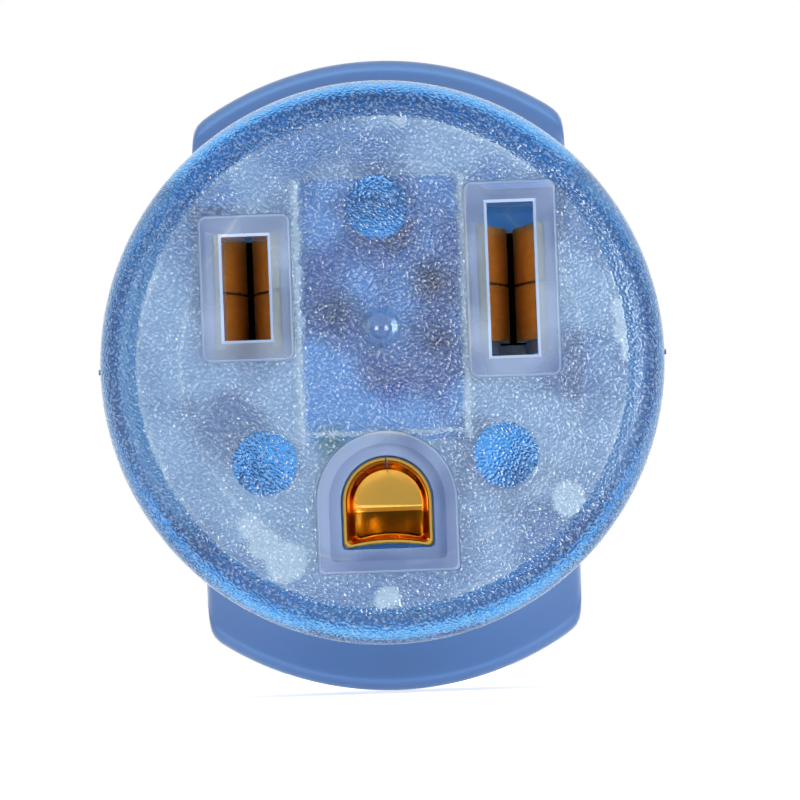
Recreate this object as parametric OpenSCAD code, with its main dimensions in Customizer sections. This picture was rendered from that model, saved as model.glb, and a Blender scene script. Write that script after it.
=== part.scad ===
// Receptacle end of a heavy three-wire adapter cord, moulded in clear blue plastic.
// The axis runs along Y: the mating face lies at y = 0 and looks towards -Y, the cord
// enters from +Y, and the earth socket is at the bottom, towards -Z.

/* [Mating face] */
// Diameter of the mating face
face_d = 54; // [53:0.5:60]
// Rounding of the edges of the head
face_edge_r = 3; // [1:0.25:4]
// How far the mould's parting line stands out at the sides of the head
parting_rise = 0.15; // [0.05:0.05:0.4]
// Width of the parting line
parting_w = 0.5; // [0.2:0.1:1]
// Thickness of the moulded skin in front of the contact carrier
face_skin = 2.5; // [1.8:0.1:3.5]
// Width of the small round dimple near the middle of the face
dimple_d = 3.8; // [2.5:0.1:5]
// Depth of the dimple
dimple_depth = 1.2; // [0.4:0.1:1.6]
// Place of the dimple above the middle of the face
dimple_z = 3.2; // [1:0.1:6]

/* [Blade openings] */
// Distance between the middles of the two line slots
pole_pitch = 25.4; // [25:0.1:27]
// Height of the line slots above the middle of the face
line_z = 7.4; // [6.8:0.1:8.5]
// Width of both line slots
slot_w = 4.4; // [4.2:0.1:5]
// Height of the left line slot
left_slot_h = 9.9; // [9:0.1:11]
// Height of the right line slot
right_slot_h = 14.6; // [13.5:0.1:15.5]
// Chamfer round the mouth of each slot
slot_chamfer = 0.3; // [0.1:0.05:0.5]
// Depth of the earth socket's middle below the middle of the face
earth_z = 13.4; // [12.6:0.1:14]
// Width of the step round the earth sleeve
earth_step = 1.1; // [0.6:0.1:1.4]
// Depth of the step round the earth sleeve
earth_step_depth = 1.6; // [1:0.1:3]

/* [Contact carrier] */
// Diameter of the carrier's front plate
plate_d = 47; // [44:0.5:48]
// Thickness of the front plate
plate_t = 2.4; // [1.5:0.1:3.5]
// Outer diameter of the ring wall behind the plate
ring_d = 38.6; // [36:0.2:40]
// Thickness of the ring wall
ring_t = 1.4; // [0.8:0.1:2]
// Depth from the plate's front to the contact chambers
front_wall = 5.1; // [4.5:0.1:7]
// Wall of the contact chambers and of the partitions between them
chamber_wall = 1.2; // [0.8:0.1:1.4]
// Depth of the cross partition below the middle of the face
partition_z = 7.4; // [6.8:0.1:8]
// Width of the collars that show in the face
collar_w = 8.8; // [8.2:0.1:9.4]
// Collar left standing above and below each line slot
collar_margin = 2.05; // [1.5:0.05:2.3]
// Collar left standing round the step of the earth socket
earth_margin = 1.2; // [0.8:0.1:1.5]
// Rounding of the collars' corners
collar_r = 0.8; // [0.3:0.1:1.5]
// How far the collars lie below the face
collar_recess = 0.15; // [0.05:0.05:0.5]
// Diameter of the three holes that the moulding flows through
column_d = 6.1; // [4.5:0.1:6.6]
// Wall of the tubes round those holes
column_wall = 1; // [0.6:0.1:1.3]
// How far the middles of the holes lie inside the ring wall's outside
column_inset = 4.5; // [4.3:0.1:4.9]
// Half of the angle between the two lower holes
column_half_angle = 51; // [49:0.5:53]
// Thickness of the cover behind the contacts
cover_t = 2.2; // [1.5:0.1:3.5]

/* [Contacts] */
// Thickness of the brass strip
contact_t = 0.8; // [0.6:0.05:0.9]
// Height of the brass jaws
contact_h = 11; // [10:0.1:11.6]
// Gap between the lips of the jaws
lip_gap = 4.4; // [3.8:0.1:4.6]
// Gap between the jaws at the throat
throat_gap = 0.6; // [0.3:0.1:1.6]
// Gap between the jaws at their heel
heel_gap = 3.2; // [2.4:0.1:3.6]
// Depth from the lips to the throat
lip_depth = 7.2; // [5.5:0.1:9]
// Depth from the throat to the heel
heel_depth = 4.8; // [3.5:0.1:7]
// Width of the slit that parts each jaw into two fingers
slit_w = 0.25; // [0.15:0.05:0.5]
// Thickness of the steel backing clips
clip_t = 0.55; // [0.4:0.05:0.6]
// How far the clips stand below the jaws
clip_drop = 1.2; // [0.8:0.1:1.25]
// How far the clips stand above the jaws
clip_rise = 0.3; // [0.1:0.1:1]
// Width of the earth sleeve outside
sleeve_w = 8.6; // [8.2:0.1:9]
// Thickness of the earth sleeve
sleeve_t = 0.45; // [0.35:0.05:0.7]
// Depth of the sleeve's wide mouth
sleeve_mouth = 5.5; // [4:0.1:8]
// How much the sleeve narrows behind its mouth
sleeve_neck = 1.2; // [0.6:0.1:1.6]
// Length over which the sleeve narrows
sleeve_taper = 2.5; // [1.5:0.1:4]
// Rise in the middle of the sleeve's flat side
sleeve_bow = 0.35; // [0.1:0.05:0.6]
// Wall of the crimp barrels
barrel_t = 1; // [0.7:0.05:1.3]
// Length of the crimp barrels behind the cover
barrel_len = 8.5; // [6:0.5:12]

/* [Wires] */
// Diameter of the stranded copper
core_d = 4.2; // [3.2:0.1:4.6]
// Thickness of the wire's insulation
insulation_t = 1.1; // [0.8:0.05:1.3]
// Bare copper between the barrel and the insulation
strip_len = 1; // [0.5:0.1:2]
// Length in which the wires draw together
wire_run = 23; // [20:0.5:30]
// Length of the cord inlet
inlet_depth = 13; // [8:0.5:20]
// Diameter of the cord inlet
inlet_d = 19; // [17.5:0.1:21]

/* [Grip] */
// Moulding behind the cover at the back of the round head
head_back_wall = 1.4; // [0.8:0.1:3]
// Reach of the wings from the axis
wing_r = 31.6; // [29:0.1:34]
// Width between the flat sides of the grip
grip_w = 37.4; // [36:0.2:42]
// Reach of the grip where it leaves the head
grip_root_r = 25; // [23.5:0.5:26]
// Length of the flare from the head to the wings
flare_len = 8; // [5:0.5:12]
// Thickness of the wings at their edge
wing_t = 4.2; // [2.5:0.1:7]
// Rounding of the wings' edges
wing_edge_r = 1.3; // [0.6:0.1:1.6]
// Diameter of the neck round the cord
neck_d = 30; // [26.5:0.5:33]
// Rounding of the end of the neck
neck_edge_r = 1.5; // [0.5:0.1:2.5]

/* [Fits] */
// Room between the moulding and what it is moulded round
mould_gap = 0.05; // [0.02:0.01:0.1]
// Room between the contacts and their seats
seat_gap = 0.15; // [0.1:0.05:0.25]

/* [Hidden] */
$fn = 96;

// How far a cutter runs past the face that it cuts
past = 1;
// Steps along corners, arches, flat sides and bowed leaves
corner_steps = 5;
arch_steps = 24;
flat_steps = 8;
leaf_steps = 20;

// Places along the axis, from the face to the cord's end
carrier_y = face_skin;
plate_end_y = carrier_y + plate_t;
chamber_y = carrier_y + front_wall;
lip_y = chamber_y + seat_gap;
throat_y = lip_y + lip_depth;
heel_y = throat_y + heel_depth;
heel_bend_y = heel_y - heel_gap / 2;
web_end_y = heel_y + contact_t;
clip_web_y = web_end_y + seat_gap;
clip_end_y = clip_web_y + clip_t;
carrier_end_y = clip_end_y + seat_gap;
cover_end_y = carrier_end_y + cover_t;
head_end_y = cover_end_y + head_back_wall;
barrel_end_y = cover_end_y + barrel_len;
insulation_y = barrel_end_y + strip_len;
bend_y = insulation_y + strip_len;
inlet_y = bend_y + wire_run + strip_len;
end_y = inlet_y + inlet_depth;
wing_y = head_end_y + flare_len;
sleeve_y = collar_recess + earth_step_depth - seat_gap;

// Contact chambers: room for the jaws and their clips
jaw_slope = (lip_gap - throat_gap) / lip_depth;
lean = sqrt(1 + jaw_slope * jaw_slope);
jaw_w = lip_gap + 2 * ((contact_t + clip_t) * lean + seat_gap);
chamber_w = jaw_w + 2 * seat_gap;
clip_low = -contact_h / 2 - clip_drop;
clip_high = contact_h / 2 + clip_rise;
clip_room = 2 * (seat_gap - clip_low);
left_chamber_h = max(clip_room, left_slot_h + 2 * slot_chamfer);
right_chamber_h = max(clip_room, right_slot_h + 2 * slot_chamfer);
// Width and depth of the ribs that centre the contacts
rib_w = 3;
rib_depth = 2.5;
// Inner face of the partitions beside the line chambers
partition_x = pole_pitch / 2 - chamber_w / 2 - chamber_wall;

// Earth socket
earth_hole_w = sleeve_w + 2 * seat_gap;
earth_step_w = earth_hole_w + 2 * earth_step;
earth_collar_w = earth_step_w + 2 * earth_margin;
sleeve_corner_r = 0.5;

// Wires
barrel_d = core_d + 2 * (barrel_t + mould_gap);
wire_d = core_d + 2 * (insulation_t + mould_gap);
lay_r = (wire_d + seat_gap) / sqrt(3);
tube_sides = 16;
bend_steps = 12;
left_pole = [-pole_pitch / 2, line_z];
right_pole = [pole_pitch / 2, line_z];
earth_pole = [0, -earth_z];
poles = [left_pole, right_pole, earth_pole];
left_lay = lay_r * [-cos(30), sin(30)];
right_lay = lay_r * [cos(30), sin(30)];
earth_lay = lay_r * [0, -1];

// Holes for the moulding's three columns, as seen in the face
column_radius = ring_d / 2 - column_inset;
columns = [
    [0, column_radius],
    column_radius * [-sin(column_half_angle), -cos(column_half_angle)],
    column_radius * [sin(column_half_angle), -cos(column_half_angle)]
];

// Grip
side_steps = 4;
wing_steps = 8;
flare_steps = 7;
edge_steps = 4;
taper_steps = 10;
// How squarely the flat sides meet the wings, and how far round that corner spreads
flat_power = 48;
corner_spread = 7;
// How much wider than the neck the flat sides end, which leaves the neck round
flat_ease = 1.08;
neck_y = inlet_y - past;

// Colours
clear_blue = [0.36, 0.58, 0.86, 0.75];
clear_plastic = [0.82, 0.88, 0.94, 0.8];
brass = [0.8, 0.58, 0.2];
steel = [0.66, 0.67, 0.68];
copper = [0.75, 0.42, 0.26];

// Extrudes a flat shape of the X-Z plane from y0 to y1
module slab(y0, y1) {
    translate([0, y1, 0])
    rotate([90, 0, 0])
    linear_extrude(y1 - y0)
    children();
}

// Turns a profile of radius and depth about the axis
module turned() {
    rotate([-90, 0, 0])
    rotate_extrude()
    children();
}

// Round bar along the axis at a place in the face
module bar(at, d, y0, y1) {
    translate([at[0], y0, at[1]])
    rotate([-90, 0, 0])
    cylinder(d = d, h = y1 - y0);
}

// Closed solid through a row of rings that all have the same number of points
module skin(rings) {
    n = len(rings[0]);
    last = len(rings) - 1;
    points = [for (ring = rings) each ring];
    sides = [
        for (i = [0:last - 1], j = [0:n - 1])
        let (a = i * n + j, b = i * n + (j + 1) % n)
        each [[a, b, b + n], [a, b + n, a + n]]
    ];
    front = [for (j = [n - 1:-1:0]) j];
    back = [for (j = [0:n - 1]) last * n + j];
    polyhedron(points, concat(sides, [front, back]));
}

// Points of an arc about a centre
function arc(centre, r, from, to, steps) = [
    for (k = [0:steps])
    let (a = from + (to - from) * k / steps)
    centre + r * [cos(a), sin(a)]
];

// Rectangle with rounded corners, about its middle
function rounded_rect(w, h, r) = [
    for (q = [0:3])
    let (sx = q == 0 || q == 3 ? 1 : -1, sz = q < 2 ? 1 : -1)
    each arc([sx * (w / 2 - r), sz * (h / 2 - r)], r, 90 * q, 90 * q + 90, corner_steps)
];

// Round-topped outline as tall as it is wide, with its flat side below, bowed up by bow
function d_outline(w, r, bow = 0) =
    let (half = w / 2, flat = w / 2 - r)
    concat(
        arc([0, 0], half, 0, 180, arch_steps),
        arc([-flat, -flat], r, 180, 270, corner_steps),
        [
            for (k = [1:flat_steps - 1])
            let (u = 2 * k / flat_steps - 1)
            [flat * u, bow * (1 - u * u) - half]
        ],
        arc([flat, -flat], r, 270, 360, corner_steps)
    );

function eased(t) = (1 - cos(180 * t)) / 2;

function reversed(points) = [for (k = [len(points) - 1:-1:0]) points[k]];

function flipped(points) = [for (p = points) [-p[0], p[1]]];

// Half of the gap between the jaws at a depth y
function jaw_gap(y) =
    y < throat_y
    ? throat_gap / 2 + (lip_gap - throat_gap) / 2 * pow((throat_y - y) / lip_depth, 2)
    : throat_gap / 2
        + (heel_gap - throat_gap) / 2 * eased(min(1, (y - throat_y) / (heel_bend_y - throat_y)));

// How much wider than its thickness a leaf is across X, where it leans
function jaw_lean(y) =
    let (dy = 0.01, dx = jaw_gap(y + dy) - jaw_gap(y))
    sqrt(1 + pow(dx / dy, 2));

// One side of a leaf in plan, from its lip to a depth: inset is what lies between it and the gap
function leaf_side(inset, room, depth) = [
    for (k = [0:leaf_steps])
    let (y = lip_y + (depth - lip_y) * k / leaf_steps)
    [jaw_gap(y) + inset * jaw_lean(y) + room, y]
];

// A brass contact in plan: two bowed leaves and the half-round heel that joins them
function jaw_outline() =
    let (
        near = leaf_side(0, 0, heel_bend_y),
        far = leaf_side(contact_t, 0, heel_bend_y),
        heel = [0, heel_bend_y],
        heel_r = heel_gap / 2,
        turn = 180 / arch_steps
    )
    concat(
        near,
        arc(heel, heel_r, turn, 180 - turn, arch_steps - 2),
        reversed(flipped(near)),
        flipped(far),
        arc(heel, heel_r + contact_t, 180 - turn, turn, arch_steps - 2),
        reversed(far)
    );

// Ring of a wire that runs from one place in the face to another
function wire_ring(from, to, t, y, r) =
    let (
        shift = to - from,
        across = cross([0, 1, 0], [shift[0], 0, shift[1]]) / norm(shift),
        pace = 90 * sin(180 * t) * PI / 180,
        way = [shift[0] * pace, wire_run, shift[1] * pace],
        up = cross(across, way / norm(way)),
        mid = from + shift * eased(t)
    )
    [
        for (k = [0:tube_sides - 1])
        let (a = 360 * k / tube_sides)
        [mid[0], y, mid[1]] + r * (across * cos(a) + up * sin(a))
    ];

// Round wire that starts and ends straight and draws in towards the cord between
module wire(from, to, y0, y1, d) {
    skin(concat(
        [wire_ring(from, to, 0, y0, d / 2)],
        [
            for (k = [0:bend_steps])
            wire_ring(from, to, k / bend_steps, bend_y + wire_run * k / bend_steps, d / 2)
        ],
        [wire_ring(from, to, 1, y1, d / 2)]
    ));
}

// Outline of one line chamber or collar, placed at its pole
module line_outline(pole, w, h, grow = 0) {
    translate(pole)
    polygon(rounded_rect(w + 2 * grow, h + 2 * grow, collar_r + grow));
}

// Outline of the earth socket at a given width
module earth_outline(w, bow = 0) {
    translate(earth_pole)
    polygon(d_outline(w, sleeve_corner_r, bow));
}

// Collars that show in the face
module collar_outlines(grow = 0) {
    line_outline(left_pole, collar_w, left_slot_h + 2 * collar_margin, grow);
    line_outline(right_pole, collar_w, right_slot_h + 2 * collar_margin, grow);
    earth_outline(earth_collar_w + 2 * grow);
}

// Outside of the line chambers behind the plate
module chamber_outlines(grow = 0) {
    line_outline(left_pole, chamber_w + 2 * chamber_wall, left_chamber_h + 2 * chamber_wall, grow);
    line_outline(right_pole, chamber_w + 2 * chamber_wall, right_chamber_h + 2 * chamber_wall, grow);
    earth_outline(earth_collar_w + 2 * grow);
}

// Partitions that keep the wires and poles apart inside the ring wall
module partition_outlines() {
    intersection() {
        circle(d = ring_d - ring_t);
        union() {
            for (side = [0, 1])
            mirror([side, 0])
            translate([partition_x, -partition_z])
            square([chamber_wall, ring_d]);
            translate([-partition_x - chamber_wall, -partition_z])
            square([2 * (partition_x + chamber_wall), chamber_wall]);
        }
    }
}

// Slot through the front wall, with its chamfered mouth
module blade_slot(pole, h) {
    translate([pole[0], 0, pole[1]]) {
        slab(-past, chamber_y + past)
        square([slot_w, h], center = true);
        for (turn = [0, 90]) {
            across = turn == 0 ? slot_w : h;
            along = turn == 0 ? h + 2 * slot_chamfer : slot_w + 2 * slot_chamfer;
            rotate([0, turn, 0])
            translate([0, 0, -along / 2])
            linear_extrude(along)
            polygon([
                [-across / 2 - slot_chamfer - past, collar_recess - past],
                [across / 2 + slot_chamfer + past, collar_recess - past],
                [across / 2, collar_recess + slot_chamfer],
                [-across / 2, collar_recess + slot_chamfer]
            ]);
        }
    }
}

// Ribs above and below the contacts, which centre them in their chamber
module chamber_ribs(pole, chamber_h) {
    translate([pole[0], 0, pole[1]])
    slab(carrier_end_y - rib_depth, carrier_end_y) {
        translate([-rib_w / 2, clip_high + seat_gap])
        square([rib_w, chamber_h / 2 - clip_high - seat_gap + chamber_wall / 2]);
        translate([-rib_w / 2, -chamber_h / 2 - chamber_wall / 2])
        square([rib_w, chamber_h / 2 + clip_low - seat_gap + chamber_wall / 2]);
    }
}

// Clear carrier that holds the contacts, with its collars, chambers and ring wall
module contact_carrier() {
    color(clear_plastic)
    union() {
        difference() {
            union() {
                slab(carrier_y, plate_end_y)
                circle(d = plate_d);
                slab(collar_recess, plate_end_y)
                collar_outlines();
                slab(carrier_y, carrier_end_y) {
                    difference() {
                        circle(d = ring_d);
                        circle(d = ring_d - 2 * ring_t);
                    }
                    chamber_outlines();
                    partition_outlines();
                    for (at = columns)
                    translate(at)
                    circle(d = column_d + 2 * (mould_gap + column_wall));
                }
            }
            slab(chamber_y, carrier_end_y + past) {
                line_outline(left_pole, chamber_w, left_chamber_h);
                line_outline(right_pole, chamber_w, right_chamber_h);
            }
            blade_slot(left_pole, left_slot_h);
            blade_slot(right_pole, right_slot_h);
            slab(-past, carrier_end_y + past)
            earth_outline(earth_hole_w);
            slab(-past, collar_recess + earth_step_depth)
            earth_outline(earth_step_w);
            for (at = columns)
            bar(at, column_d + 2 * mould_gap, carrier_y - past, carrier_end_y + past);
        }
        chamber_ribs(left_pole, left_chamber_h);
        chamber_ribs(right_pole, right_chamber_h);
    }
}

// Clear cover that closes the back of the chambers and lets the barrels through
module carrier_cover() {
    color(clear_plastic)
    slab(carrier_end_y, cover_end_y)
    difference() {
        union() {
            circle(d = ring_d);
            chamber_outlines();
        }
        for (pole = poles)
        translate(pole)
        circle(d = barrel_d + 2 * seat_gap);
        for (at = columns)
        translate(at)
        circle(d = column_d + 2 * mould_gap);
    }
}

// Crimp barrel behind a contact, with its seam along the top
module crimp_barrel(y0) {
    difference() {
        bar([0, 0], barrel_d, y0, barrel_end_y);
        bar([0, 0], core_d + 2 * mould_gap, cover_end_y - cover_t / 2, barrel_end_y + past);
        translate([-slit_w / 2, cover_end_y, 0])
        cube([slit_w, barrel_len + past, barrel_d]);
    }
}

// Brass contact: two bowed leaves, each slit into two fingers, on one heel and barrel
module line_contact() {
    difference() {
        translate([0, 0, -contact_h / 2])
        linear_extrude(contact_h)
        polygon(jaw_outline());
        translate([-jaw_w / 2, lip_y - past, -slit_w / 2])
        cube([jaw_w, heel_y - lip_y - contact_t + past, slit_w]);
    }
    crimp_barrel(web_end_y - contact_t / 2);
}

module left_line_contact() {
    color(brass)
    translate([left_pole[0], 0, left_pole[1]])
    line_contact();
}

module right_line_contact() {
    color(brass)
    translate([right_pole[0], 0, right_pole[1]])
    line_contact();
}

// Steel clip that backs the brass leaves and keeps them pressed on a blade
module backing_clip() {
    clip_w = heel_gap + 2 * (contact_t + seat_gap + clip_t);
    near = leaf_side(contact_t, seat_gap, heel_y);
    far = leaf_side(contact_t + clip_t, seat_gap, heel_y);
    for (side = [0, 1])
    mirror([side, 0, 0])
    translate([0, 0, clip_low])
    linear_extrude(clip_high - clip_low)
    polygon(concat(near, reversed(far)));
    difference() {
        union() {
            translate([-clip_w / 2, clip_web_y, clip_low])
            cube([clip_w, clip_t, clip_high - clip_low]);
            for (side = [0, 1])
            mirror([side, 0, 0])
            translate([clip_w / 2 - clip_t, heel_y - clip_t / 2, clip_low])
            cube([clip_t, clip_end_y - heel_y + clip_t / 2, clip_high - clip_low]);
        }
        bar([0, 0], barrel_d + 2 * seat_gap, web_end_y, carrier_end_y);
    }
}

module left_backing_clip() {
    color(steel)
    translate([left_pole[0], 0, left_pole[1]])
    backing_clip();
}

module right_backing_clip() {
    color(steel)
    translate([right_pole[0], 0, right_pole[1]])
    backing_clip();
}

// One ring of the earth sleeve, inset from its outside
function sleeve_ring(y, w, inset) = [
    for (p = d_outline(w - 2 * inset, sleeve_corner_r, sleeve_bow))
    [p[0], y, p[1]]
];

// Rings along the earth sleeve's outside, or along its hollow when inset
function sleeve_rings(inset, y1) = concat(
    [sleeve_ring(sleeve_y, sleeve_w, inset)],
    [
        for (k = [0:edge_steps])
        let (u = k / edge_steps, y = sleeve_y + sleeve_mouth + sleeve_taper * u)
        sleeve_ring(y, sleeve_w - sleeve_neck * eased(u), inset)
    ],
    [sleeve_ring(y1, sleeve_w - sleeve_neck, inset)]
);

// Brass sleeve for a round-topped earth pin, rolled from strip with its seam on top
module earth_contact() {
    hollow = sleeve_rings(sleeve_t, heel_y);
    color(brass)
    translate([earth_pole[0], 0, earth_pole[1]]) {
        difference() {
            skin(concat(reversed(hollow), sleeve_rings(0, web_end_y)));
            translate([-slit_w / 4, sleeve_y - past, 0])
            cube([slit_w / 2, heel_y - sleeve_y, sleeve_w]);
        }
        crimp_barrel(web_end_y - contact_t / 2);
    }
}

// Stranded copper of one wire, crimped in its barrel
module conductor(pole, lay) {
    color(copper)
    wire(pole, lay, cover_end_y, inlet_y, core_d);
}

module left_conductor() {
    conductor(left_pole, left_lay);
}

module right_conductor() {
    conductor(right_pole, right_lay);
}

module earth_conductor() {
    conductor(earth_pole, earth_lay);
}

// Insulation of one wire, stripped back from its barrel
module insulation(pole, lay) {
    difference() {
        wire(pole, lay, insulation_y, inlet_y, wire_d);
        wire(pole, lay, insulation_y - strip_len, inlet_y + past, core_d + 2 * mould_gap);
    }
}

module left_wire_insulation() {
    color("white")
    insulation(left_pole, left_lay);
}

module right_wire_insulation() {
    color([0.12, 0.12, 0.13])
    insulation(right_pole, right_lay);
}

module earth_wire_insulation() {
    color([0.05, 0.45, 0.2])
    insulation(earth_pole, earth_lay);
}

// Round head with its rounded edges and the mould's parting line at its sides
module head() {
    slab(face_edge_r, head_end_y - face_edge_r)
    square([face_d + 2 * parting_rise, parting_w], center = true);
    turned()
    polygon(concat(
        [[0, 0]],
        arc([face_d / 2 - face_edge_r, face_edge_r], face_edge_r, 270, 360, arch_steps / 2),
        arc([face_d / 2 - face_edge_r, head_end_y - face_edge_r], face_edge_r, 0, 90, arch_steps / 2),
        [[0, head_end_y]]
    ));
}

// Angles round a ring of the grip, close together where the flat sides meet the wings
function grip_angles(corner) =
    let (
        low = corner - corner_spread,
        high = corner + corner_spread,
        quarter = concat(
            [for (k = [0:side_steps - 1]) low * k / side_steps],
            [for (k = [0:corner_steps]) low + (high - low) * k / corner_steps],
            [for (k = [1:wing_steps - 1]) high + (90 - high) * k / wing_steps]
        ),
        half = concat(quarter, [90], [for (k = [len(quarter) - 1:-1:1]) 180 - quarter[k]])
    )
    concat(half, [for (t = half) t + 180]);

// One ring of the grip: a circle of reach r between flat sides at half-width a
function grip_ring(y, r, a) =
    let (corner = max(2 * corner_spread, acos(min(1, a / r))))
    [
        for (t = grip_angles(corner))
        let (reach = pow(pow(abs(cos(t)) / a, flat_power) + pow(1 / r, flat_power), -1 / flat_power))
        [reach * cos(t), y, reach * sin(t)]
    ];

// Rings from the head through the flared wings to the neck, as depth, reach and half-width
function grip_stations() =
    let (
        a = grip_w / 2,
        edge = wing_r - wing_edge_r,
        wing_end = wing_y + wing_t,
        neck_r = neck_d / 2,
        neck_a = neck_r * flat_ease,
        fall = neck_y - wing_end
    )
    concat(
        [[head_end_y - face_edge_r - past, grip_root_r, a]],
        [
            for (k = [0:flare_steps])
            let (u = k / flare_steps)
            [head_end_y + flare_len * u, grip_root_r + (edge - grip_root_r) * u * u, a]
        ],
        [
            for (k = [1:edge_steps])
            let (t = 90 * k / edge_steps)
            [wing_y + wing_edge_r * (1 - cos(t)), edge + wing_edge_r * sin(t), a]
        ],
        [
            for (k = [0:edge_steps])
            let (t = 90 * k / edge_steps)
            [wing_end - wing_edge_r * (1 - sin(t)), edge + wing_edge_r * cos(t), a]
        ],
        [
            for (k = [1:taper_steps])
            let (v = k / taper_steps)
            [wing_end + fall * v, neck_r + (edge - neck_r) * pow(1 - v, 2), a + (neck_a - a) * eased(v)]
        ],
        [
            for (k = [0:edge_steps])
            let (t = 90 * k / edge_steps, cut = neck_edge_r * (1 - cos(t)))
            [end_y - neck_edge_r * (1 - sin(t)), neck_r - cut, neck_a - cut]
        ]
    );

module grip() {
    skin([for (s = grip_stations()) grip_ring(s[0], s[1], s[2])]);
}

// Space that the carrier and its cover take up in the moulding
module carrier_space() {
    difference() {
        union() {
            slab(carrier_y - mould_gap, plate_end_y + mould_gap)
            circle(d = plate_d + 2 * mould_gap);
            slab(-past, plate_end_y)
            collar_outlines(mould_gap);
            slab(carrier_y, cover_end_y + mould_gap) {
                circle(d = ring_d + 2 * mould_gap);
                chamber_outlines(mould_gap);
            }
        }
        for (at = columns)
        bar(at, column_d, -2 * past, cover_end_y + past);
    }
}

// Space that the barrels and wires take up in the moulding
module wire_space(pole, lay) {
    bar(pole, barrel_d + 2 * mould_gap, cover_end_y - cover_t / 2, insulation_y);
    wire(pole, lay, barrel_end_y + mould_gap, inlet_y + past, wire_d + 2 * mould_gap);
}

// Clear blue moulding round everything: head, flared grip and neck with the cord inlet
module body_moulding() {
    dimple_r = (pow(dimple_d / 2, 2) + pow(dimple_depth, 2)) / (2 * dimple_depth);
    color(clear_blue)
    difference() {
        union() {
            head();
            grip();
        }
        carrier_space();
        wire_space(left_pole, left_lay);
        wire_space(right_pole, right_lay);
        wire_space(earth_pole, earth_lay);
        bar([0, 0], inlet_d, inlet_y, end_y + past);
        translate([0, dimple_depth - dimple_r, dimple_z])
        sphere(r = dimple_r);
    }
}

body_moulding();
contact_carrier();
carrier_cover();
left_line_contact();
right_line_contact();
earth_contact();
left_backing_clip();
right_backing_clip();
left_conductor();
right_conductor();
earth_conductor();
left_wire_insulation();
right_wire_insulation();
earth_wire_insulation();
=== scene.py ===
# %% [markdown]
# # A clear blue cord receptacle
# The receptacle end of a heavy adapter cord is moulded in clear blue plastic round a colourless
# carrier with brass contacts. The construction already holds every piece at its real size, so
# this lesson loads it first and then makes each piece again, with finer curves and with finishes
# that let the light through. Lengths are written in millimetres and turned to metres, Blender's
# own unit, where a mesh or a pattern is made.

# %% Load the construction
import math

import bmesh
import bpy
from mathutils import Matrix, Vector


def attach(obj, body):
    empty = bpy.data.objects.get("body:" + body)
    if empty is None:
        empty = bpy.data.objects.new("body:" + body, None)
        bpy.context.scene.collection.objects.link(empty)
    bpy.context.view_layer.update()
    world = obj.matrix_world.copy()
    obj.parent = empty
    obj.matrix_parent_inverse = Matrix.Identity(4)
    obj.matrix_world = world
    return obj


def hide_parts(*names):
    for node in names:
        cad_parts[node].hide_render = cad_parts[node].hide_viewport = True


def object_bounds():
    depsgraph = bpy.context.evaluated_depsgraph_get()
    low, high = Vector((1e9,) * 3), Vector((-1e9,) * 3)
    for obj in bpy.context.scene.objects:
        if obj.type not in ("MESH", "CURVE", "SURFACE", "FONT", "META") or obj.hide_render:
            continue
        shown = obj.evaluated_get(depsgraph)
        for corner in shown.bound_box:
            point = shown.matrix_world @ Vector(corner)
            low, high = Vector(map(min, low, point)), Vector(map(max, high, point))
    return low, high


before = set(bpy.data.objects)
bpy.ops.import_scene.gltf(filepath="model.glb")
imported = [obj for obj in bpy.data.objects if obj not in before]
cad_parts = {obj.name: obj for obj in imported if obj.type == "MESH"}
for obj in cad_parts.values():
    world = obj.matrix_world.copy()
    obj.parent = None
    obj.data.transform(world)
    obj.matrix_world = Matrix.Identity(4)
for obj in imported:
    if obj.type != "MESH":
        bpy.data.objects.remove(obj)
cad_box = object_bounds()
MM = 0.001
print("construction box in mm:", [[round(c / MM, 1) for c in corner] for corner in cad_box])

# %% [markdown]
# ## The camera
# The photograph looks almost straight at the mating face from a long way off, a little from below
# and from the right. The head is 54 mm wide 3 mm behind its face and fills 565 of the 800 pixels,
# which gives the scale, and the shift of the wings behind it gives the distance. A camera can be
# turned by hand until the picture fits; working it out from these few sizes makes it exact.

# %% Camera
scene = bpy.context.scene
IMAGE_SIZE = 800.0
HEAD_D, HEAD_EDGE, HEAD_PIXELS = 54.0, 3.0, 565.0
MM_PER_PIXEL = HEAD_D / HEAD_PIXELS
CAMERA_AT = Vector((7.7, -632.0, -26.3))
FACE_CENTRE_PIXEL = (382.0, 361.0)
ROLL = math.radians(2.1)
SENSOR = 36.0

image_right = Vector((math.cos(ROLL), 0.0, -math.sin(ROLL)))
image_up = Vector((math.sin(ROLL), 0.0, math.cos(ROLL)))
to_right, to_bottom = (IMAGE_SIZE / 2 - pixel for pixel in FACE_CENTRE_PIXEL)
aim = (image_right * to_right - image_up * to_bottom) * MM_PER_PIXEL
ahead = (aim - CAMERA_AT).normalized()
right = ahead.cross(image_up).normalized()
up = right.cross(ahead)

camera = bpy.data.objects.new("camera", bpy.data.cameras.new("camera"))
scene.collection.objects.link(camera)
camera.data.sensor_width = SENSOR
camera.data.lens = SENSOR * ((aim - CAMERA_AT).length + HEAD_EDGE) / (IMAGE_SIZE * MM_PER_PIXEL)
camera.data.clip_start = 0.01
camera.matrix_world = Matrix((
    (right.x, up.x, -ahead.x, CAMERA_AT.x * MM),
    (right.y, up.y, -ahead.y, CAMERA_AT.y * MM),
    (right.z, up.z, -ahead.z, CAMERA_AT.z * MM),
    (0.0, 0.0, 0.0, 1.0),
))
scene.camera = camera
scene.view_settings.view_transform = "Standard"
print("lens", round(camera.data.lens, 1), "mm, aim", [round(c, 2) for c in aim])

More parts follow.
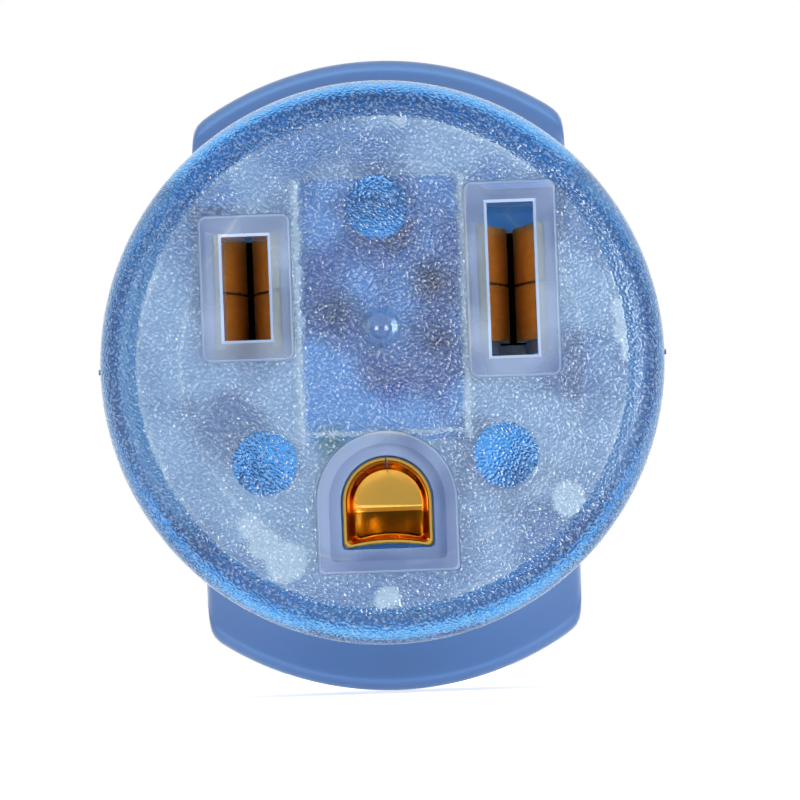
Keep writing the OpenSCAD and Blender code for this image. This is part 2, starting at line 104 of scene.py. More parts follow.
# %% [markdown]
# ## Small helpers for finishes
# Colours are written as the hex codes that a paint program shows and turned to linear light by one
# function. A second function adds a shader node with its settings and its inputs: an input that is
# a socket is linked, any other is set as a value. Two settings recur, a soft step and a mix of
# colours, so they have names. Pattern scales are written as a size in mm.

# %% Finish helpers
SOFT_STEP = {"interpolation_type": "SMOOTHSTEP"}
COLOURS = {"data_type": "RGBA"}


def colour(code):
    parts = [int(code[i:i + 2], 16) / 255.0 for i in (1, 3, 5)]
    return tuple(c / 12.92 if c <= 0.04045 else ((c + 0.055) / 1.055) ** 2.4 for c in parts) + (1.0,)


def add(tree, kind, settings=None, inputs=None):
    made = tree.nodes.new(kind)
    for name, value in (settings or {}).items():
        setattr(made, name, value)
    for name, value in (inputs or {}).items():
        if isinstance(value, bpy.types.NodeSocket):
            tree.links.new(value, made.inputs[name])
        else:
            made.inputs[name].default_value = value
    return made


def new_finish(name):
    finish = bpy.data.materials.new(name)
    finish.use_nodes = True
    finish.node_tree.nodes.clear()
    return finish, finish.node_tree


def per_metre(size_mm):
    return 1.0 / (size_mm * MM)


print("helpers ready")

# %% [markdown]
# ## Surroundings
# The object stands in a white light tent. Clear plastic shows what is behind it, so the tent glows
# brightly behind the object and less in front, where it would only veil the gloss; the camera
# itself sees it plain white. A large lamp behind could do the same, but a tent has no edges that
# would show in the plastic. Light needs many bounces before it finds its way out of it.

# %% Light tent
GLOW_IN_FRONT, GLOW_BEHIND = 0.5, 1.45
world = bpy.data.worlds.new("light tent")
scene.world = world
world.use_nodes = True
tree = world.node_tree
tree.nodes.clear()
path = add(tree, "ShaderNodeLightPath")
direction = add(tree, "ShaderNodeTexCoord").outputs["Generated"]
way = add(tree, "ShaderNodeSeparateXYZ", inputs={"Vector": direction})
glow = add(tree, "ShaderNodeMapRange", inputs={
    "Value": way.outputs["Y"], "From Min": -1.0, "From Max": 1.0,
    "To Min": GLOW_IN_FRONT, "To Max": GLOW_BEHIND})
lit = add(tree, "ShaderNodeBackground", inputs={
    "Color": colour("#FFFFFF"), "Strength": glow.outputs["Result"]})
seen = add(tree, "ShaderNodeBackground", inputs={"Color": colour("#FFFFFF"), "Strength": 1.0})
both = add(tree, "ShaderNodeMixShader", inputs={
    0: path.outputs["Is Camera Ray"], 1: lit.outputs[0], 2: seen.outputs[0]})
add(tree, "ShaderNodeOutputWorld", inputs={"Surface": both.outputs[0]})
scene.cycles.max_bounces = scene.cycles.transmission_bounces = 40
scene.cycles.diffuse_bounces = scene.cycles.glossy_bounces = 16
print("light tent ready")

# %% [markdown]
# ## Floor
# The lower wing rests on a plain sheet of white paper, which keeps a faint shadow. On a light table
# such a sheet is lit from below, so it has a slight glow of its own; a bare white surface would
# come out grey beside the white tent.

# %% Floor
FLOOR_HALF = 450.0
REST_GAP = 0.05
floor_z = cad_box[0][2] / MM - REST_GAP
bm = bmesh.new()
bmesh.ops.create_grid(bm, x_segments=1, y_segments=1, size=FLOOR_HALF * MM,
                      matrix=Matrix.Translation((0.0, 0.0, floor_z * MM)))
floor_mesh = bpy.data.meshes.new("floor")
bm.to_mesh(floor_mesh)
bm.free()
floor = bpy.data.objects.new("floor", floor_mesh)
scene.collection.objects.link(floor)

# Paper is matt, and its cloudy fibres give the eye a white that is not quite even.
paper, tree = new_finish("white paper sheet")
place = add(tree, "ShaderNodeTexCoord").outputs["Object"]
fibre = add(tree, "ShaderNodeTexNoise", inputs={"Vector": place, "Scale": per_metre(30.0)})
tone = add(tree, "ShaderNodeMix", COLOURS, {
    "Factor": fibre.outputs["Fac"], "A": colour("#FFFFFF"), "B": colour("#FDFDFD")})
sheet = add(tree, "ShaderNodeBsdfPrincipled", inputs={
    "Base Color": tone.outputs["Result"], "Roughness": 0.9,
    "Emission Color": colour("#FFFFFF"), "Emission Strength": 0.5})
add(tree, "ShaderNodeOutputMaterial", inputs={"Surface": sheet.outputs[0]})
floor.data.materials.append(paper)
print("floor at", round(floor_z, 2), "mm")

# %% [markdown]
# ## Lamps
# Two area lamps stand in front, about a metre away, with their places and sizes in metres. The key
# comes from the right, nearly level, and is small enough to leave glints in the grain. The fill
# from the left is broad and weak and opens the shadows. One big lamp would flatten the grain.


# %% Lamps
def lamp(name, at, towards, size, watts):
    data = bpy.data.lights.new(name, "AREA")
    data.size = size
    data.energy = watts
    obj = bpy.data.objects.new(name, data)
    scene.collection.objects.link(obj)
    obj.location = at
    obj.rotation_euler = (Vector(towards) - Vector(at)).to_track_quat("-Z", "Y").to_euler()


lamp("key lamp", (0.42, -1.0, 0.08), (0.0, 0.0, 0.0), 0.3, 4.4)
lamp("fill lamp", (-0.5, -0.9, 0.05), (0.0, 0.0, -0.01), 0.5, 1.5)
print("two lamps")

# %% [markdown]
# ## Shaping helpers
# Every piece here is a flat outline pushed along an axis, a profile turned about the axis, or a row
# of rings joined by a skin. Each could be drawn by hand in the editor; a helper for each kind makes
# it from its sizes, as a bmesh in millimetres.


# %% Three kinds of solid
def pushed_up(bm, corners, by):
    top = bmesh.ops.extrude_face_region(bm, geom=[bm.faces.new(corners)])["geom"]
    bmesh.ops.translate(bm, verts=[v for v in top if isinstance(v, bmesh.types.BMVert)], vec=by)
    bmesh.ops.recalc_face_normals(bm, faces=bm.faces)
    return bm


def prism(points, low, high, along="Y"):
    bm = bmesh.new()
    if along == "X":
        corners, by = [(low, a, b) for a, b in points], (high - low, 0.0, 0.0)
    elif along == "Y":
        corners, by = [(a, low, b) for a, b in points], (0.0, high - low, 0.0)
    else:
        corners, by = [(a, b, low) for a, b in points], (0.0, 0.0, high - low)
    return pushed_up(bm, [bm.verts.new(corner) for corner in corners], by)


def turned(profile, steps):
    bm = bmesh.new()
    row = [bm.verts.new((r, y, 0.0)) for r, y in profile]
    edges = [bm.edges.new(pair) for pair in zip(row, row[1:])]
    bmesh.ops.spin(bm, geom=row + edges, cent=(0, 0, 0), axis=(0, 1, 0),
                   angle=math.tau, steps=steps, use_merge=True)
    bmesh.ops.remove_doubles(bm, verts=bm.verts, dist=1e-5)
    bmesh.ops.recalc_face_normals(bm, faces=bm.faces)
    return bm


def skinned(rings):
    bm = bmesh.new()
    loops = []
    for ring in rings:
        verts = [bm.verts.new(point) for point in ring]
        loops.append([bm.edges.new(pair) for pair in zip(verts, verts[1:] + verts[:1])])
    for first, second in zip(loops, loops[1:]):
        bmesh.ops.bridge_loops(bm, edges=first + second)
    for end in (loops[0], loops[-1]):
        bmesh.ops.edgeloop_fill(bm, edges=end)
    bmesh.ops.recalc_face_normals(bm, faces=bm.faces)
    return bm


print("prism, turned and skinned solids")

# %% [markdown]
# ## Joining and cutting
# Solids are joined or cut with the Boolean modifier, as a toolmaker would add and remove metal. The
# manifold solver is quick and keeps every solid closed, which clear plastic needs: light must find
# a way in and a way out.


# %% Joining and cutting
def solid(bm, name="solid"):
    bmesh.ops.scale(bm, vec=(MM, MM, MM), verts=bm.verts)
    mesh = bpy.data.meshes.new(name)
    bm.to_mesh(mesh)
    bm.free()
    obj = bpy.data.objects.new(name, mesh)
    scene.collection.objects.link(obj)
    return obj


def combine(base, tools, how):
    for tool in tools:
        step = base.modifiers.new(how.lower(), "BOOLEAN")
        step.operation = how
        step.solver = "MANIFOLD"
        step.object = tool
    depsgraph = bpy.context.evaluated_depsgraph_get()
    mesh = bpy.data.meshes.new_from_object(base.evaluated_get(depsgraph))
    base.modifiers.clear()
    base.data = mesh
    for tool in tools:
        bpy.data.objects.remove(tool)
    return base


print("join and cut ready")

# %% [markdown]
# ## Outlines
# Most outlines are circles, rectangles with rounded corners, or the arch of the earth socket, whose
# flat side may bow a little. All of them are strung together from arcs. The eased curve, half a
# cosine wave, starts and ends level and shapes everything that swells or bends gently.


# %% Outlines
CORNER_STEPS = 6


def arc(centre, r, start, end, steps):
    turns = [math.radians(start + (end - start) * k / steps) for k in range(steps + 1)]
    return [(centre[0] + r * math.cos(t), centre[1] + r * math.sin(t)) for t in turns]


def round_bar(at, d, low, high, sides=64):
    return prism(arc(at, d / 2, 0.0, 360.0 * (sides - 1) / sides, sides - 1), low, high)


def rounded_rect(at, w, h, r):
    points = []
    for quarter, (sx, sz) in enumerate(((1, 1), (-1, 1), (-1, -1), (1, -1))):
        centre = (at[0] + sx * (w / 2 - r), at[1] + sz * (h / 2 - r))
        points += arc(centre, r, 90 * quarter, 90 * quarter + 90, CORNER_STEPS)
    return points


def arched(at, w, r, bow=0.0):
    half, flat = w / 2, w / 2 - r
    points = arc((0, 0), half, 0, 180, 48) + arc((-flat, -flat), r, 180, 270, CORNER_STEPS)
    for k in range(1, 12):
        u = k / 6 - 1
        points.append((flat * u, bow * (1 - u * u) - half))
    points += arc((flat, -flat), r, 270, 360, CORNER_STEPS)
    return [(at[0] + x, at[1] + z) for x, z in points]


def eased(t):
    return (1 - math.cos(math.pi * t)) / 2


print("outlines ready")

# %% [markdown]
# ## Finishing a piece
# Each finished piece gets its material and smooth shading, with creases where two faces meet at
# more than 35 degrees, and weighted normals keep the large flat faces flat in the gloss. It rides
# on the part's only body and stands for its node of the construction, which is hidden.

# %% Finishing a piece
CREASE = math.radians(35.0)


def piece(obj, name, slot, finish, node):
    obj.name = obj.data.name = name
    obj.data.materials.clear()
    obj.data.materials.append(finish)
    obj.data.shade_smooth()
    obj.data.set_sharp_from_angle(angle=CREASE)
    weights = obj.modifiers.new("even shading", "WEIGHTED_NORMAL")
    weights.keep_sharp = True
    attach(obj, "root")
    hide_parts(node)
    print(name, len(obj.data.polygons), "faces, slot", slot)


print("pieces crease at", round(math.degrees(CREASE)), "degrees")

# %% [markdown]
# ## Places on the part
# These repeat the construction's own sizes, so that the new pieces lie where the old ones did.
# Depths are counted from the mating face, at zero, towards the cord, and places in the face are
# pairs of X and Z.

# %% Depths
CARRIER, PLATE_END, CHAMBER, LIP, THROAT, HEEL = 2.5, 4.9, 7.6, 7.75, 14.95, 19.75
WEB_END, CARRIER_END, COVER_END, HEAD_END = 20.55, 21.4, 23.6, 25.0
BARREL_END, INSULATION, BEND, RUN, INLET, END = 32.1, 33.1, 34.1, 23.0, 58.1, 71.1
# Air left between pieces, and how far a solid runs past one that it joins or cuts
GAP, PAST = 0.05, 1.0
print("the part is", END, "mm deep, with", GAP, "mm of air between its pieces")

# %% [markdown]
# In the face lie the two line slots, the earth socket below them and the dimple. The three blue
# columns stand on one circle, one at the top and two turned from the bottom by the same angle.

# %% Places in the face
LEFT, RIGHT, EARTH = (-12.7, 7.4), (12.7, 7.4), (0.0, -13.4)
PLATE_D, RING_D, COLUMN_D = 47.0, 38.6, 6.1
DIMPLE, DIMPLE_R, DIMPLE_DEPTH = (0.0, 3.2), 1.9, 1.2
COLUMN_OUT, COLUMN_TURN = 14.8, math.radians(51.0)
COLUMNS = [(0.0, COLUMN_OUT)]
for s in (-1, 1):
    COLUMNS.append((COLUMN_OUT * s * math.sin(COLUMN_TURN), -COLUMN_OUT * math.cos(COLUMN_TURN)))
EARTH_HOLE, EARTH_STEP, EARTH_COLLAR, EARTH_CORNER = 8.9, 11.1, 13.5, 0.5
print("three blue columns at", [[round(c, 1) for c in at] for at in COLUMNS])

# %% [markdown]
# Slots are given by width and height, and so are the collars round them and the chambers behind. A
# leaf that leans takes up more width than its thickness, by the length of its slope at the lip.

# %% Slots and chambers
SLOT_W, SLOTS = 4.4, {LEFT: 9.9, RIGHT: 14.6}
COLLARS = {LEFT: (8.8, 14.0), RIGHT: (8.8, 18.7)}
BRASS, STEEL, PLAY, WALL = 0.8, 0.55, 0.15, 1.2
THROAT_HALF = 0.3
BOW = SLOT_W / 2 - THROAT_HALF
lip_lean = math.hypot(1.0, 2 * BOW / (THROAT - LIP))
CHAMBER_W = SLOT_W + 2 * ((BRASS + STEEL) * lip_lean + PLAY) + 2 * PLAY
CHAMBERS = {LEFT: (CHAMBER_W, 13.7), RIGHT: (CHAMBER_W, 15.2)}
print("chamber width", round(CHAMBER_W, 2))

# %% [markdown]
# ## Clear blue moulding: where its finishes lie
# One mould gave this piece several surfaces: a grained head, a smooth grip with hazy wing fronts, a
# polished dimple, and behind the skin a smooth wall that lies against the carrier. Faces could be
# picked for separate materials; here one material asks how deep and how far out a point lies, so
# the clear solid stays whole and the places follow the piece's own sizes.

# %% Places on the moulding
WING_Y = 33.0
GRAIN_FADES = (21.0, 24.0)
WING_FRONT = (WING_Y, WING_Y + 1.5)
BEHIND_SKIN, BEHIND_SKIN_R = (CARRIER - 0.2, HEAD_END - 1.0), PLATE_D / 2 + 0.3
blue_pvc, tree = new_finish("clear blue pvc with a spark-eroded grain")
place = add(tree, "ShaderNodeTexCoord").outputs["Object"]
depth = add(tree, "ShaderNodeSeparateXYZ", inputs={"Vector": place}).outputs["Y"]
flat = add(tree, "ShaderNodeVectorMath", {"operation": "MULTIPLY"}, {0: place, 1: (1.0, 0.0, 1.0)})
radius = add(tree, "ShaderNodeVectorMath", {"operation": "LENGTH"}, {0: flat.outputs[0]})
on_head = add(tree, "ShaderNodeMapRange", SOFT_STEP, {
    "Value": depth, "From Min": GRAIN_FADES[0] * MM, "From Max": GRAIN_FADES[1] * MM,
    "To Min": 1.0, "To Max": 0.05}).outputs["Result"]
wing_front = add(tree, "ShaderNodeMapRange", SOFT_STEP, {
    "Value": depth, "From Min": WING_FRONT[0] * MM, "From Max": WING_FRONT[1] * MM,
    "To Min": 1.0, "To Max": 0.0}).outputs["Result"]
within = add(tree, "ShaderNodeMath", {"operation": "COMPARE"}, {
    0: radius.outputs["Value"], 1: 0.0, 2: BEHIND_SKIN_R * MM})
deep = add(tree, "ShaderNodeMath", {"operation": "COMPARE"}, {
    0: depth, 1: sum(BEHIND_SKIN) / 2 * MM, 2: (BEHIND_SKIN[1] - BEHIND_SKIN[0]) / 2 * MM})
inner = add(tree, "ShaderNodeMath", {"operation": "MULTIPLY"}, {
    0: within.outputs[0], 1: deep.outputs[0]}).outputs[0]
off_dimple = add(tree, "ShaderNodeVectorMath", {"operation": "DISTANCE"}, {
    0: flat.outputs[0], 1: (DIMPLE[0] * MM, 0.0, DIMPLE[1] * MM)})
in_dimple = add(tree, "ShaderNodeMath", {"operation": "COMPARE"}, {
    0: off_dimple.outputs["Value"], 1: 0.0, 2: (DIMPLE_R + GAP) * MM})
smooth = add(tree, "ShaderNodeMath", {"operation": "MAXIMUM"}, {
    0: inner, 1: in_dimple.outputs[0]}).outputs[0]
print("head, wing fronts, dimple and inner wall have their places")

# %% [markdown]
# ## Clear blue moulding: grain and haze
# The head's mould was spark-eroded, which leaves a close shallow grain, here drawn out a little
# along a slant. Cut into the mesh it would need millions of faces, so a bump tilts the shading
# instead. The crests scatter some light and look whitish: that is the haze, the share of light
# that the plastic doesn't let through. The wing fronts are milkier still.

# %% Grain and haze
GRAIN, GRAIN_DEPTH = 0.22, 0.072
CREST_HAZE, POLISHED_HAZE, MILKY_HAZE = 0.18, 0.03, 0.55
slant = add(tree, "ShaderNodeMapping", {"vector_type": "TEXTURE"}, {
    "Vector": place, "Rotation": (0.0, -0.9, 0.0), "Scale": (1.0, 1.0, 1.35)})
# The grain is about two pixels of the picture wide: a finer one would not show.
grain = add(tree, "ShaderNodeTexNoise", inputs={
    "Vector": slant.outputs[0], "Scale": per_metre(GRAIN), "Detail": 0.0}).outputs["Fac"]
outside = add(tree, "ShaderNodeMath", {"operation": "SUBTRACT", "use_clamp": True}, {0: on_head, 1: smooth})
bump = add(tree, "ShaderNodeBump", inputs={
    "Strength": outside.outputs[0], "Distance": GRAIN_DEPTH * MM, "Height": grain})
crests = add(tree, "ShaderNodeMapRange", inputs={
    "Value": grain, "From Min": 0.5, "From Max": 0.7, "To Min": 0.0, "To Max": CREST_HAZE})
head_haze = add(tree, "ShaderNodeMix", inputs={
    "Factor": smooth, "A": crests.outputs["Result"], "B": POLISHED_HAZE})
grip_haze = add(tree, "ShaderNodeMapRange", inputs={
    "Value": wing_front, "To Min": POLISHED_HAZE, "To Max": MILKY_HAZE})
haze = add(tree, "ShaderNodeMix", inputs={
    "Factor": on_head, "A": grip_haze.outputs["Result"], "B": head_haze.outputs["Result"]})
clear = add(tree, "ShaderNodeMath", {"operation": "SUBTRACT"}, {0: 1.0, 1: haze.outputs["Result"]})
print("grain", GRAIN, "mm wide")

# %% [markdown]
# ## Clear blue moulding: the dye
# The real moulding is soft PVC with a blue dye. The longer the way of the light through it, the
# deeper the blue, which is why the thick rim is darker than the thin skin over the carrier. A
# painted colour can't do that, so the dye is an absorption inside the mesh. The surface adds only a
# slight tint: bluer on the grip and the wings, pale on the head, none on the inner wall.

# %% Clear blue PVC
# Dyed PVC from a grained mould gives the eye a deep blue edge, a pale middle and a fine sparkle.
tint = add(tree, "ShaderNodeMix", COLOURS, {
    "Factor": wing_front, "A": colour("#A9C6EE"), "B": colour("#4C7BB9")})
tint = add(tree, "ShaderNodeMix", COLOURS, {
    "Factor": on_head, "A": tint.outputs["Result"], "B": colour("#D6E6F8")})
tint = add(tree, "ShaderNodeMix", COLOURS, {
    "Factor": inner, "A": tint.outputs["Result"], "B": colour("#FFFFFF")})
gloss = add(tree, "ShaderNodeMapRange", inputs={"Value": on_head, "To Min": 0.35, "To Max": 0.1})
plastic = add(tree, "ShaderNodeBsdfPrincipled", inputs={
    "Base Color": tint.outputs["Result"], "Roughness": gloss.outputs["Result"], "IOR": 1.53,
    "Transmission Weight": clear.outputs[0], "Normal": bump.outputs["Normal"]})
dye = add(tree, "ShaderNodeVolumeAbsorption", inputs={"Color": colour("#00D6F4"), "Density": 42.0})
add(tree, "ShaderNodeOutputMaterial", inputs={"Surface": plastic.outputs[0], "Volume": dye.outputs[0]})
print(blue_pvc.name)

# %% [markdown]
# ## Clear blue moulding: the head
# The head is a disc with rounded edges, so its profile is turned about the axis as on a lathe. A
# bevelled cylinder would come close, but a turned profile has its curve exactly where it belongs.
# The mould's two halves left a thin raised seam at both sides.

# %% Head
EDGE_STEPS, FINE_SIDES = 16, 192
SEAM_OUT, SEAM_HALF = 0.15, 0.25
HEAD_R = HEAD_D / 2
profile = [(0.0, 0.0)] + arc((HEAD_R - HEAD_EDGE, HEAD_EDGE), HEAD_EDGE, 270, 360, EDGE_STEPS)
profile += arc((HEAD_R - HEAD_EDGE, HEAD_END - HEAD_EDGE), HEAD_EDGE, 0, 90, EDGE_STEPS) + [(0.0, HEAD_END)]
head = solid(turned(profile, FINE_SIDES), "head")
seam_x = HEAD_R + SEAM_OUT
seam_outline = [(-seam_x, -SEAM_HALF), (seam_x, -SEAM_HALF), (seam_x, SEAM_HALF), (-seam_x, SEAM_HALF)]
seam = solid(prism(seam_outline, HEAD_EDGE, HEAD_END - HEAD_EDGE), "seam")
print("head", len(head.data.polygons), "faces")

# %% [markdown]
# ## Clear blue moulding: the grip
# The grip is a circle between two flat sides that flares out to the wings and then falls to the
# neck. It could be sculpted from a cylinder; a row of rings with a skin over them keeps every
# section true. The points of a ring lie close together where the flat sides meet the wings, so
# that this corner stays crisp all along.


# %% Rings of the grip
def grip_ring(y, reach, half):
    # A high power joins flat side and circle in a crisp corner, with more points within the spread
    squareness, spread = 48, 7.0
    corner = math.degrees(max(math.acos(min(1.0, half / reach)), math.radians(2 * spread)))
    quarter = [(corner - spread) * k / 10 for k in range(10)]
    quarter += [corner - spread + 2 * spread * k / 12 for k in range(13)]
    quarter += [corner + spread + (90.0 - spread - corner) * k / 20 for k in range(1, 20)]
    turn = quarter + [90.0] + [180.0 - t for t in quarter[:0:-1]]
    ring = []
    for t in (math.radians(t) for t in turn + [t + 180.0 for t in turn]):
        flat_side, round_side = abs(math.cos(t)) / half, 1 / reach
        r = (flat_side ** squareness + round_side ** squareness) ** (-1 / squareness)
        ring.append((r * math.cos(t), y, r * math.sin(t)))
    return ring


print("rings of the grip ready")

# %% [markdown]
# The rows of rings run from inside the head along the flare to the wings' brim, round the brim, and
# down to the neck with its rounded end. Each row is a depth, a reach and half the width between the
# flat sides. Head, grip and seam are then joined to one blank.

# %% Grip
WING_R, WING_END, BRIM, ROOT_R, FLAT = 31.6, 37.2, 1.3, 25.0, 18.7
NECK_Y, NECK_R, NECK_FLAT, NECK_EDGE = 57.1, 15.0, 16.2, 1.5
CREST = WING_R - BRIM
quarter = [math.pi / 2 * k / 6 for k in range(7)]
rows = [(HEAD_END - HEAD_EDGE - PAST, ROOT_R, FLAT)]
for u in (k / 16 for k in range(17)):
    rows.append((HEAD_END + (WING_Y - HEAD_END) * u, ROOT_R + (CREST - ROOT_R) * u * u, FLAT))
rows += [(WING_Y + BRIM * (1 - math.cos(t)), CREST + BRIM * math.sin(t), FLAT) for t in quarter[1:]]
rows += [(WING_END - BRIM * (1 - math.sin(t)), CREST + BRIM * math.cos(t), FLAT) for t in quarter]
for v in (k / 24 for k in range(1, 25)):
    rows.append((WING_END + (NECK_Y - WING_END) * v, NECK_R + (CREST - NECK_R) * (1 - v) ** 2,
                 FLAT + (NECK_FLAT - FLAT) * eased(v)))
for t in quarter:
    inward = NECK_EDGE * (1 - math.cos(t))
    rows.append((END - NECK_EDGE * (1 - math.sin(t)), NECK_R - inward, NECK_FLAT - inward))
grip = solid(skinned([grip_ring(*row) for row in rows]), "grip")
body = combine(head, [grip, seam], "UNION")
print("moulding blank", len(body.data.polygons), "faces")

# %% [markdown]
# ## Clear blue moulding: the space of the wires
# The moulding is shot round the wired carrier, so their space is cut out of the blank. Each wire
# runs straight out of its crimp barrel, swings to its place in the bundle and runs straight again:
# rings are set across that path. A curve with a round bevel would do as well, but a skin over
# rings is a closed mesh from the start, ready to cut with.

# %% Path of a wire
BARREL_D, CORE_D, WIRE_D = 6.3, 4.2, 6.5
# Three wires side by side have this distance from the axis
LAY = (WIRE_D + PLAY) / math.sqrt(3)
LAYS = {LEFT: (-LAY * math.cos(math.radians(30)), LAY / 2),
        RIGHT: (LAY * math.cos(math.radians(30)), LAY / 2),
        EARTH: (0.0, -LAY)}


def wire_rings(start, y0, y1, d, sides=32, steps=24):
    end = LAYS[start]
    shift = Vector((end[0] - start[0], 0.0, end[1] - start[1]))
    across = Vector((0, 1, 0)).cross(shift).normalized()
    stops = [(k / steps, BEND + RUN * k / steps) for k in range(steps + 1)]
    rings = []
    for t, y in [(0.0, y0)] + stops + [(1.0, y1)]:
        way = (shift * (math.pi / 2 * math.sin(math.pi * t)) + Vector((0, RUN, 0))).normalized()
        lift = across.cross(way)
        middle = Vector((start[0], y, start[1])) + shift * eased(t)
        rings.append([middle + (across * math.cos(a) + lift * math.sin(a)) * d / 2
                      for a in (math.tau * k / sides for k in range(sides))])
    return rings


print("wires lie", round(LAY, 2), "mm from the axis in the bundle")

# %% [markdown]
# For each wire the space is a straight bar round the barrel and a bent one round the jacket.

# %% Space of the wires
BARREL_FROM = COVER_END - 1.1
wire_space = []
for pole in (LEFT, RIGHT, EARTH):
    wire_space.append(solid(round_bar(pole, BARREL_D + 2 * GAP, BARREL_FROM, INSULATION)))
    bend = wire_rings(pole, BARREL_END + GAP, INLET + PAST, WIRE_D + 2 * GAP)
    wire_space.append(solid(skinned(bend)))
print("wire spaces", len(wire_space))

# %% [markdown]
# ## Clear blue moulding: the space of the carrier
# The carrier's space is built from the same outlines as the carrier, a hair larger. That hair of
# air between the plastics is what makes the carrier show: light turns back at it. The three
# columns of blue plastic that run through the carrier are left standing in the space.


# %% Space of the carrier
def outlines(sizes, grow):
    corner = 0.8
    return [rounded_rect(pole, w + 2 * grow, h + 2 * grow, corner + grow) for pole, (w, h) in sizes.items()]


def between(points, low, high):
    return solid(prism(points, low, high))


SPACE_ROOT, SPACE_END = CARRIER + 1.0, COVER_END + GAP
IN_PLATE = PLATE_END - 0.5
WALLS = {pole: (w + 2 * WALL, h + 2 * WALL) for pole, (w, h) in CHAMBERS.items()}
space = solid(round_bar((0, 0), PLATE_D + 2 * GAP, CARRIER - GAP, PLATE_END + GAP, FINE_SIDES))
blocks = [solid(round_bar((0, 0), RING_D + 2 * GAP, SPACE_ROOT, SPACE_END, FINE_SIDES))]
blocks += [between(o, -PAST, IN_PLATE) for o in outlines(COLLARS, GAP)]
blocks += [between(o, SPACE_ROOT, SPACE_END) for o in outlines(WALLS, GAP)]
blocks += [between(arched(EARTH, EARTH_COLLAR + 2 * GAP, EARTH_CORNER), -PAST, SPACE_END)]
space = combine(space, blocks, "UNION")
posts = [solid(round_bar(at, COLUMN_D, -2 * PAST, COVER_END + PAST)) for at in COLUMNS]
space = combine(space, posts, "DIFFERENCE")
print("carrier space", len(space.data.polygons), "faces")

# %% [markdown]
# ## Clear blue moulding: the cut
# The spaces, the inlet of the cord and the dimple in the face are cut out of the blank in one go.
# The dimple is the print of a ball, whose radius follows from the dimple's width and depth.

# %% Moulding
INLET_D, INLET_SIDES = 19.0, 128
inlet = solid(round_bar((0, 0), INLET_D, INLET, END + PAST, INLET_SIDES))
ball_r = (DIMPLE_R ** 2 + DIMPLE_DEPTH ** 2) / (2 * DIMPLE_DEPTH)
bm = bmesh.new()
bmesh.ops.create_uvsphere(bm, u_segments=48, v_segments=32, radius=ball_r)
bmesh.ops.translate(bm, verts=bm.verts, vec=(DIMPLE[0], DIMPLE_DEPTH - ball_r, DIMPLE[1]))
dimple = solid(bm)
body = combine(body, [space, inlet, dimple] + wire_space, "DIFFERENCE")
piece(body, "blue_moulding", "clear_blue_plastic", blue_pvc, "body_moulding")

# %% [markdown]
# ## Clear carrier: where its haze lies
# The carrier is moulded polycarbonate, clear where it shows in the face. Under the blue skin the
# hot plastic has etched its plate, so its haze has places in the plate's own plane. They could be
# painted by hand; written in millimetres they can be set beside the photograph. A slight wobble
# keeps their edges from looking drawn with a ruler.

# %% Places on the carrier
WOBBLE, WOBBLE_SIZE = 0.8, 1.5
clear_pc, tree = new_finish("clear polycarbonate etched under the skin")
place = add(tree, "ShaderNodeTexCoord").outputs["Object"]
wobble = add(tree, "ShaderNodeTexNoise", inputs={
    "Vector": place, "Scale": per_metre(WOBBLE_SIZE), "Detail": 2.0})
shaken = add(tree, "ShaderNodeVectorMath", {"operation": "MULTIPLY_ADD"}, {
    0: wobble.outputs["Color"], 1: (WOBBLE * MM, 0.0, WOBBLE * MM), 2: place})
in_mm = add(tree, "ShaderNodeVectorMath", {"operation": "SCALE"}, {0: shaken.outputs[0], "Scale": 1.0 / MM})
in_mm = add(tree, "ShaderNodeVectorMath", {"operation": "SUBTRACT"}, {
    0: in_mm.outputs[0], 1: (WOBBLE / 2, 0.0, WOBBLE / 2)})
spot = add(tree, "ShaderNodeSeparateXYZ", inputs={"Vector": in_mm.outputs[0]})
depth = spot.outputs["Y"]
flat = add(tree, "ShaderNodeVectorMath", {"operation": "MULTIPLY"}, {
    0: in_mm.outputs[0], 1: (1.0, 0.0, 1.0)}).outputs[0]
radius = add(tree, "ShaderNodeVectorMath", {"operation": "LENGTH"}, {0: flat}).outputs["Value"]
print("haze is placed in mm")

# %% [markdown]
# ## Clear carrier: haze of the plate
# The etched plate is cloudy in patches a few millimetres wide. Between the partitions, over the
# open bay, it is clear in places and shows what lies behind. An even haze would look like frosted
# glass, so a soft noise sets its strength.

# %% Haze of the plate
CLOUD = 8.0
BAY_HALF, BAY_MIDDLE, BAY_RISE = 7.6, 5.0, 12.6
cloud = add(tree, "ShaderNodeTexNoise", inputs={
    "Vector": place, "Scale": per_metre(CLOUD), "Detail": 1.5}).outputs["Fac"]
bay_width = add(tree, "ShaderNodeMath", {"operation": "COMPARE"}, {0: spot.outputs["X"], 1: 0.0, 2: BAY_HALF})
bay_height = add(tree, "ShaderNodeMath", {"operation": "COMPARE"}, {
    0: spot.outputs["Z"], 1: BAY_MIDDLE, 2: BAY_RISE}).outputs[0]
bay = add(tree, "ShaderNodeMath", {"operation": "MULTIPLY"}, {
    0: bay_width.outputs[0], 1: bay_height}).outputs[0]
least = add(tree, "ShaderNodeMapRange", inputs={"Value": bay, "To Min": 0.22, "To Max": 0.0})
most = add(tree, "ShaderNodeMapRange", inputs={"Value": bay, "To Min": 0.88, "To Max": 0.85})
patchy = add(tree, "ShaderNodeMapRange", SOFT_STEP, {
    "Value": cloud, "From Min": 0.35, "From Max": 0.62,
    "To Min": least.outputs["Result"], "To Max": most.outputs["Result"]})
print("patches about", CLOUD, "mm wide")

# %% [markdown]
# ## Clear carrier: sink lines
# Over the ring wall, the edge of the plate and the partitions the skin has sunk a little as it
# cooled, which shows as soft whitish lines. A line is where the distance to a radius or to a
# straight edge is near nothing. Each has its place, its half width and a limit to where it shows.

